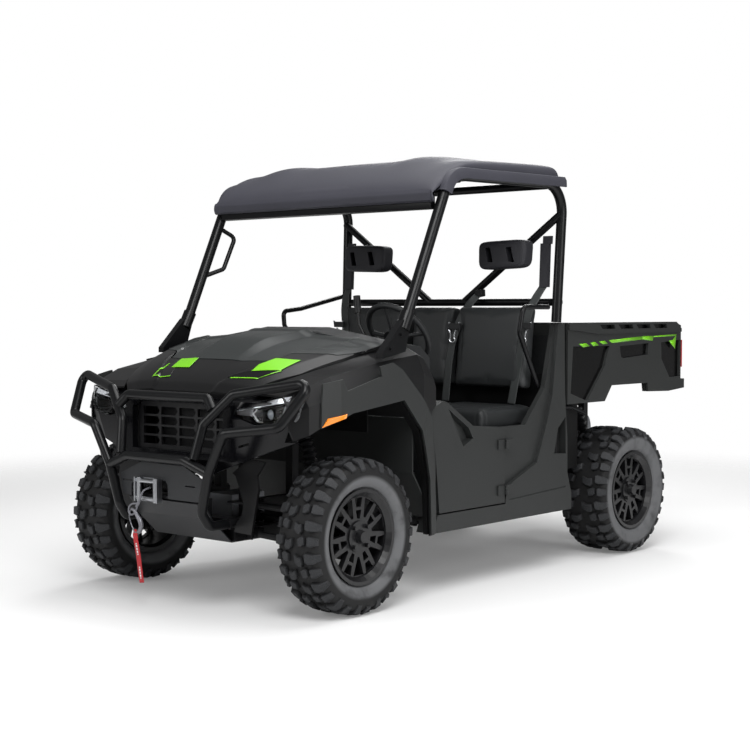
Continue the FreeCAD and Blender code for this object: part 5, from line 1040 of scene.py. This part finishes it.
# latch plates: y, z and side of each; outlines from that point; x at one height, and its slope with height
latches = {"rows": [("inner", .166, 1.144, 1), ("outer", .604, 1.148, 1), ("far", .604, 1.148, -1)],
           "loopSides": 8, "rivetSides": 14,
           "x": -.188, "height": 1.14, "slope": .1, "holderFrom": -.01, "holderTo": .006, "holderBevel": .003,
           "loopAt": .004,
           "holder": [(-.021, .034), (.045, .034), (.049, .064), (-.023, .064)],
           "loop": [(-.024, .03), (-.016, .022), (-.013, -.004), (-.018, -.018), (-.008, -.031), (.006, -.032),
                    (.016, -.02), (.011, -.004), (.016, .022), (.026, .03)], "loopThick": .0036,
           "rivets": (-.02, .045), "rivetHeight": .066,
           "rivet": [(-.006, .0045), (.0015, .0045), (.0028, .003), (.003, .0001)]}


def superBlock(name, centre, given, word):
    # rounded block: cosine and sine of two turns raised to a small power, times half the size
    power = lambda value: np.sign(value) * np.abs(value) ** given["power"]
    tilt = np.linspace(-np.pi / 2, np.pi / 2, given["rows"])[:, None]
    turn = circle(given["columns"])
    ball = [power(np.cos(tilt)) * power(np.cos(turn)), power(np.cos(tilt)) * power(np.sin(turn)), power(np.sin(tilt))]
    grid = joined(*ball) * np.array(given["half"]) + np.array(centre)
    return outwards(addMesh(name, grid, gridFaces(given["rows"], given["columns"], closeColumns=True), word))


def addHeadrest(side, word):
    x, y, z = mirrored(rest["centre"], side)
    made = superBlock("headrest_" + word, (x, y, z), rest, "headrest")
    # the face bows forward and wraps at its ends, the lower edge is drawn in
    place = readPoints(made)
    across = (place[:, 1] - y) / rest["half"][1]
    rise = (place[:, 2] - z) / rest["half"][2]
    place[:, 0] += rest["bow"] * (1 - across ** 2) - rest["tip"] * rise
    place[:, 1] -= rest["draw"] * across * np.maximum(0, -rise) ** 2
    place[:, 2] += rest["twist"] * across * side
    writePoints(made, place)
    tools = []
    for offset, half in rest["slots"]:
        lean, tall, middle = rest["slotLean"], rest["slotHeight"], y + offset
        outline = [(middle - half + lean, z - tall), (middle + half + lean, z - tall),
                   (middle + half - lean, z + tall), (middle - half - lean, z + tall)]
        tools.append(prism("slot tool", outline, x + rest["slotFrom"], x + rest["slotTo"], 0, "headrest"))
        cut = made.modifiers.new("slot", "BOOLEAN")
        cut.object = tools[-1]
        cut.operation = "DIFFERENCE"
        cut.solver = "EXACT"
    applyAll(made)
    for tool in tools:
        bpy.data.objects.remove(tool)
    made.data.set_sharp_from_angle(angle=edges["sharp"])
    bevelled(made, *rest["bevel"])
    if side > 0:
        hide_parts("headrests")
    # clamp that holds it on the slanted brace
    clamp = rest["clamp"]
    wide, tall = clamp["half"]
    outline = [(y + a * wide, z + b * tall) for a, b in ((-1, -1), (1, -1), (1, 1), (-1, 1))]
    prism("headrest_clamp_" + word, outline, x + clamp["from"], x + clamp["to"], 0, "tube", clamp["bevel"])


def addStrap(name, knots, side):
    # flat webbing along a smooth line, its width square to the line and to the way it faces
    knots = mirrored(knots, side)
    rows, columns = belt["net"]
    wing = belt["soften"] // 2 - 1
    share = runOf(knots)
    t = np.linspace(0, share[-1], rows)
    line = pointsAt(knots, t, share)
    padded = np.concatenate([2 * line[:1] - line[wing:0:-1], line, 2 * line[-1:] - line[-2:-2 - wing:-1]])
    line = joined(*(np.convolve(column, bell(belt["soften"]), "same") for column in padded.T))[wing:-wing]
    wide = unit(np.cross(unit(np.gradient(line, axis=0)), np.array(belt["facing"])))
    across = np.linspace(-.5, .5, columns) * belt["width"]
    grid = line[:, None] + across[:, None] * wide[:, None]
    uv = joined(across, t[:, None])
    return walled(outwards(addMesh(name, grid, gridFaces(rows, columns), "webbing", uv=uv)), belt["thick"], 0)


def addLatch(word, y, z, side):
    # buckle tongue: black holder, a bent steel loop below it and two rivets
    x = latches["x"] - (z - latches["height"]) * latches["slope"]
    holder, loop = ([(side * (y + a), z + b) for a, b in latches[part]] for part in ("holder", "loop"))
    low, high = x + latches["holderFrom"], x + latches["holderTo"]
    prism("latch_holder_" + word, holder, low, high, 0, "dash", latches["holderBevel"])
    loop = [(x + latches["loopAt"], *p) for p in loop]
    pathTube("latch_loop_" + word, loop, latches["loopThick"], "lampSilver", latches["loopSides"])
    for index, offset in enumerate(latches["rivets"]):
        turnedPart("latch_rivet_%s_%d" % (word, index), (high, y + offset, z + latches["rivetHeight"]),
                   latches["rivet"], "bolt", side, latches["rivetSides"])


def addCabParts():
    for side, word in sides:
        addHeadrest(side, word)
    straps = [addStrap("belt_" + name, belt[name.split("_")[0]], side)
              for name, side in (("outer_left", 1), ("inner_left", 1), ("outer_right", -1))]
    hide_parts("seat_belts")
    prism("belt_clamp", belt["clamp"], belt["clampFrom"], belt["clampTo"], 0, "tube", belt["clampBevel"])
    for row in latches["rows"]:
        addLatch(*row)


addCabParts()
print("cab fitted")

# camera, floor, world and lamps
cameraSettings = {"place": (5.765, 4.761, 1.269), "yaw": -139.312, "pitch": -2.481, "roll": .04, "lens": 70.68,
                  "sensor": 36}
studio = {"floorRadius": 7, "corners": 64, "floorColour": .86, "floorRough": .9, "floorSpecular": .1, "lift": .14,
          "fadeFrom": 3.2, "fadeTo": 6.6, "ambient": .22}
# name, place, aim, size, watts
lamps = [
    ("key lamp", (3.5, 3, 4.6), (.2, 0, .8), 2.6, 190),
    ("top lamp", (-.4, .4, 5.2), (0, 0, .8), 4, 210),
    ("left lamp", (.5, 5.5, 2.2), (0, 0, .9), 2.8, 90),
    ("front lamp", (5.6, -1.6, 2.4), (.6, 0, .8), 2.2, 70),
    ("back lamp", (-4.2, -2.6, 3.8), (0, 0, 1.2), 2.4, 120),
]


def aimed(place, way):
    return Matrix.Translation(place) @ way.to_track_quat("-Z", "Y").to_matrix().to_4x4()


def addCamera(given):
    yaw, pitch = math.radians(given["yaw"]), math.radians(given["pitch"])
    way = Vector((math.cos(pitch) * math.cos(yaw), math.cos(pitch) * math.sin(yaw), math.sin(pitch)))
    data = bpy.data.cameras.new("camera")
    data.lens = given["lens"]
    data.sensor_width = given["sensor"]
    made = linked("camera", data)
    made.matrix_world = aimed(given["place"], way) @ Matrix.Rotation(math.radians(given["roll"]), 4, "Z")
    bpy.context.scene.camera = made


def addFloor(given):
    # round white floor; seen straight from the camera it is mixed with a little of its own light, and it fades
    # out between two distances from the middle
    turn = circle(given["corners"])
    ring = np.stack([np.cos(turn), np.sin(turn), 0 * turn], 1) * given["floorRadius"]
    mesh = bpy.data.meshes.new("floor_stage")
    mesh.from_pydata(ring.tolist(), [], [list(range(given["corners"]))])
    made = linked("floor_stage", mesh)
    paint = bpy.data.materials.new("studio floor")
    paint.use_nodes = True
    tree = paint.node_tree
    shader = fill(tree, shaderOf(paint), {"Base Color": [given["floorColour"]] * 3 + [1],
                                          "Roughness": given["floorRough"],
                                          "Specular IOR Level": given["floorSpecular"]})
    reach = addNode(tree, "VectorMath", {0: addNode(tree, "TexCoord").outputs["Object"]}, operation="LENGTH")
    fade = smoothStep(tree, reach.outputs["Value"], given["fadeFrom"], given["fadeTo"])
    seen = maths(tree, "MULTIPLY", addNode(tree, "LightPath").outputs["Is Camera Ray"], given["lift"])
    light = addNode(tree, "Emission", {"Strength": 1})
    lit = addNode(tree, "MixShader", {0: seen, 1: shader.outputs[0], 2: light.outputs[0]})
    clear = addNode(tree, "BsdfTransparent")
    mix = addNode(tree, "MixShader", {0: fade, 1: lit.outputs[0], 2: clear.outputs[0]})
    fill(tree, tree.nodes["Material Output"], {"Surface": mix.outputs[0]})
    mesh.materials.append(paint)


def addWorld(given):
    # white where the camera sees it, straight or through the lens, and the ambient share everywhere else
    world = bpy.data.worlds.new("studio")
    bpy.context.scene.world = world
    world.use_nodes = True
    tree = world.node_tree
    tree.nodes.clear()
    seen = addNode(tree, "LightPath").outputs
    straight = maths(tree, "MAXIMUM", seen["Is Camera Ray"], seen["Is Transmission Ray"])
    strength = maths(tree, "MULTIPLY_ADD", straight, 1 - given["ambient"], given["ambient"])
    back = addNode(tree, "Background", {"Color": (1, 1, 1, 1), "Strength": strength})
    addNode(tree, "OutputWorld", {"Surface": back.outputs[0]})


def addLamps(rows):
    for name, place, aim, size, watts in rows:
        data = bpy.data.lights.new(name, "AREA")
        data.energy = watts
        data.size = size
        linked(name, data).matrix_world = aimed(place, Vector(aim) - Vector(place))


addCamera(cameraSettings)
addFloor(studio)
addWorld(studio)
addLamps(lamps)
bpy.context.scene.view_settings.view_transform = "Standard"
print("studio ready")
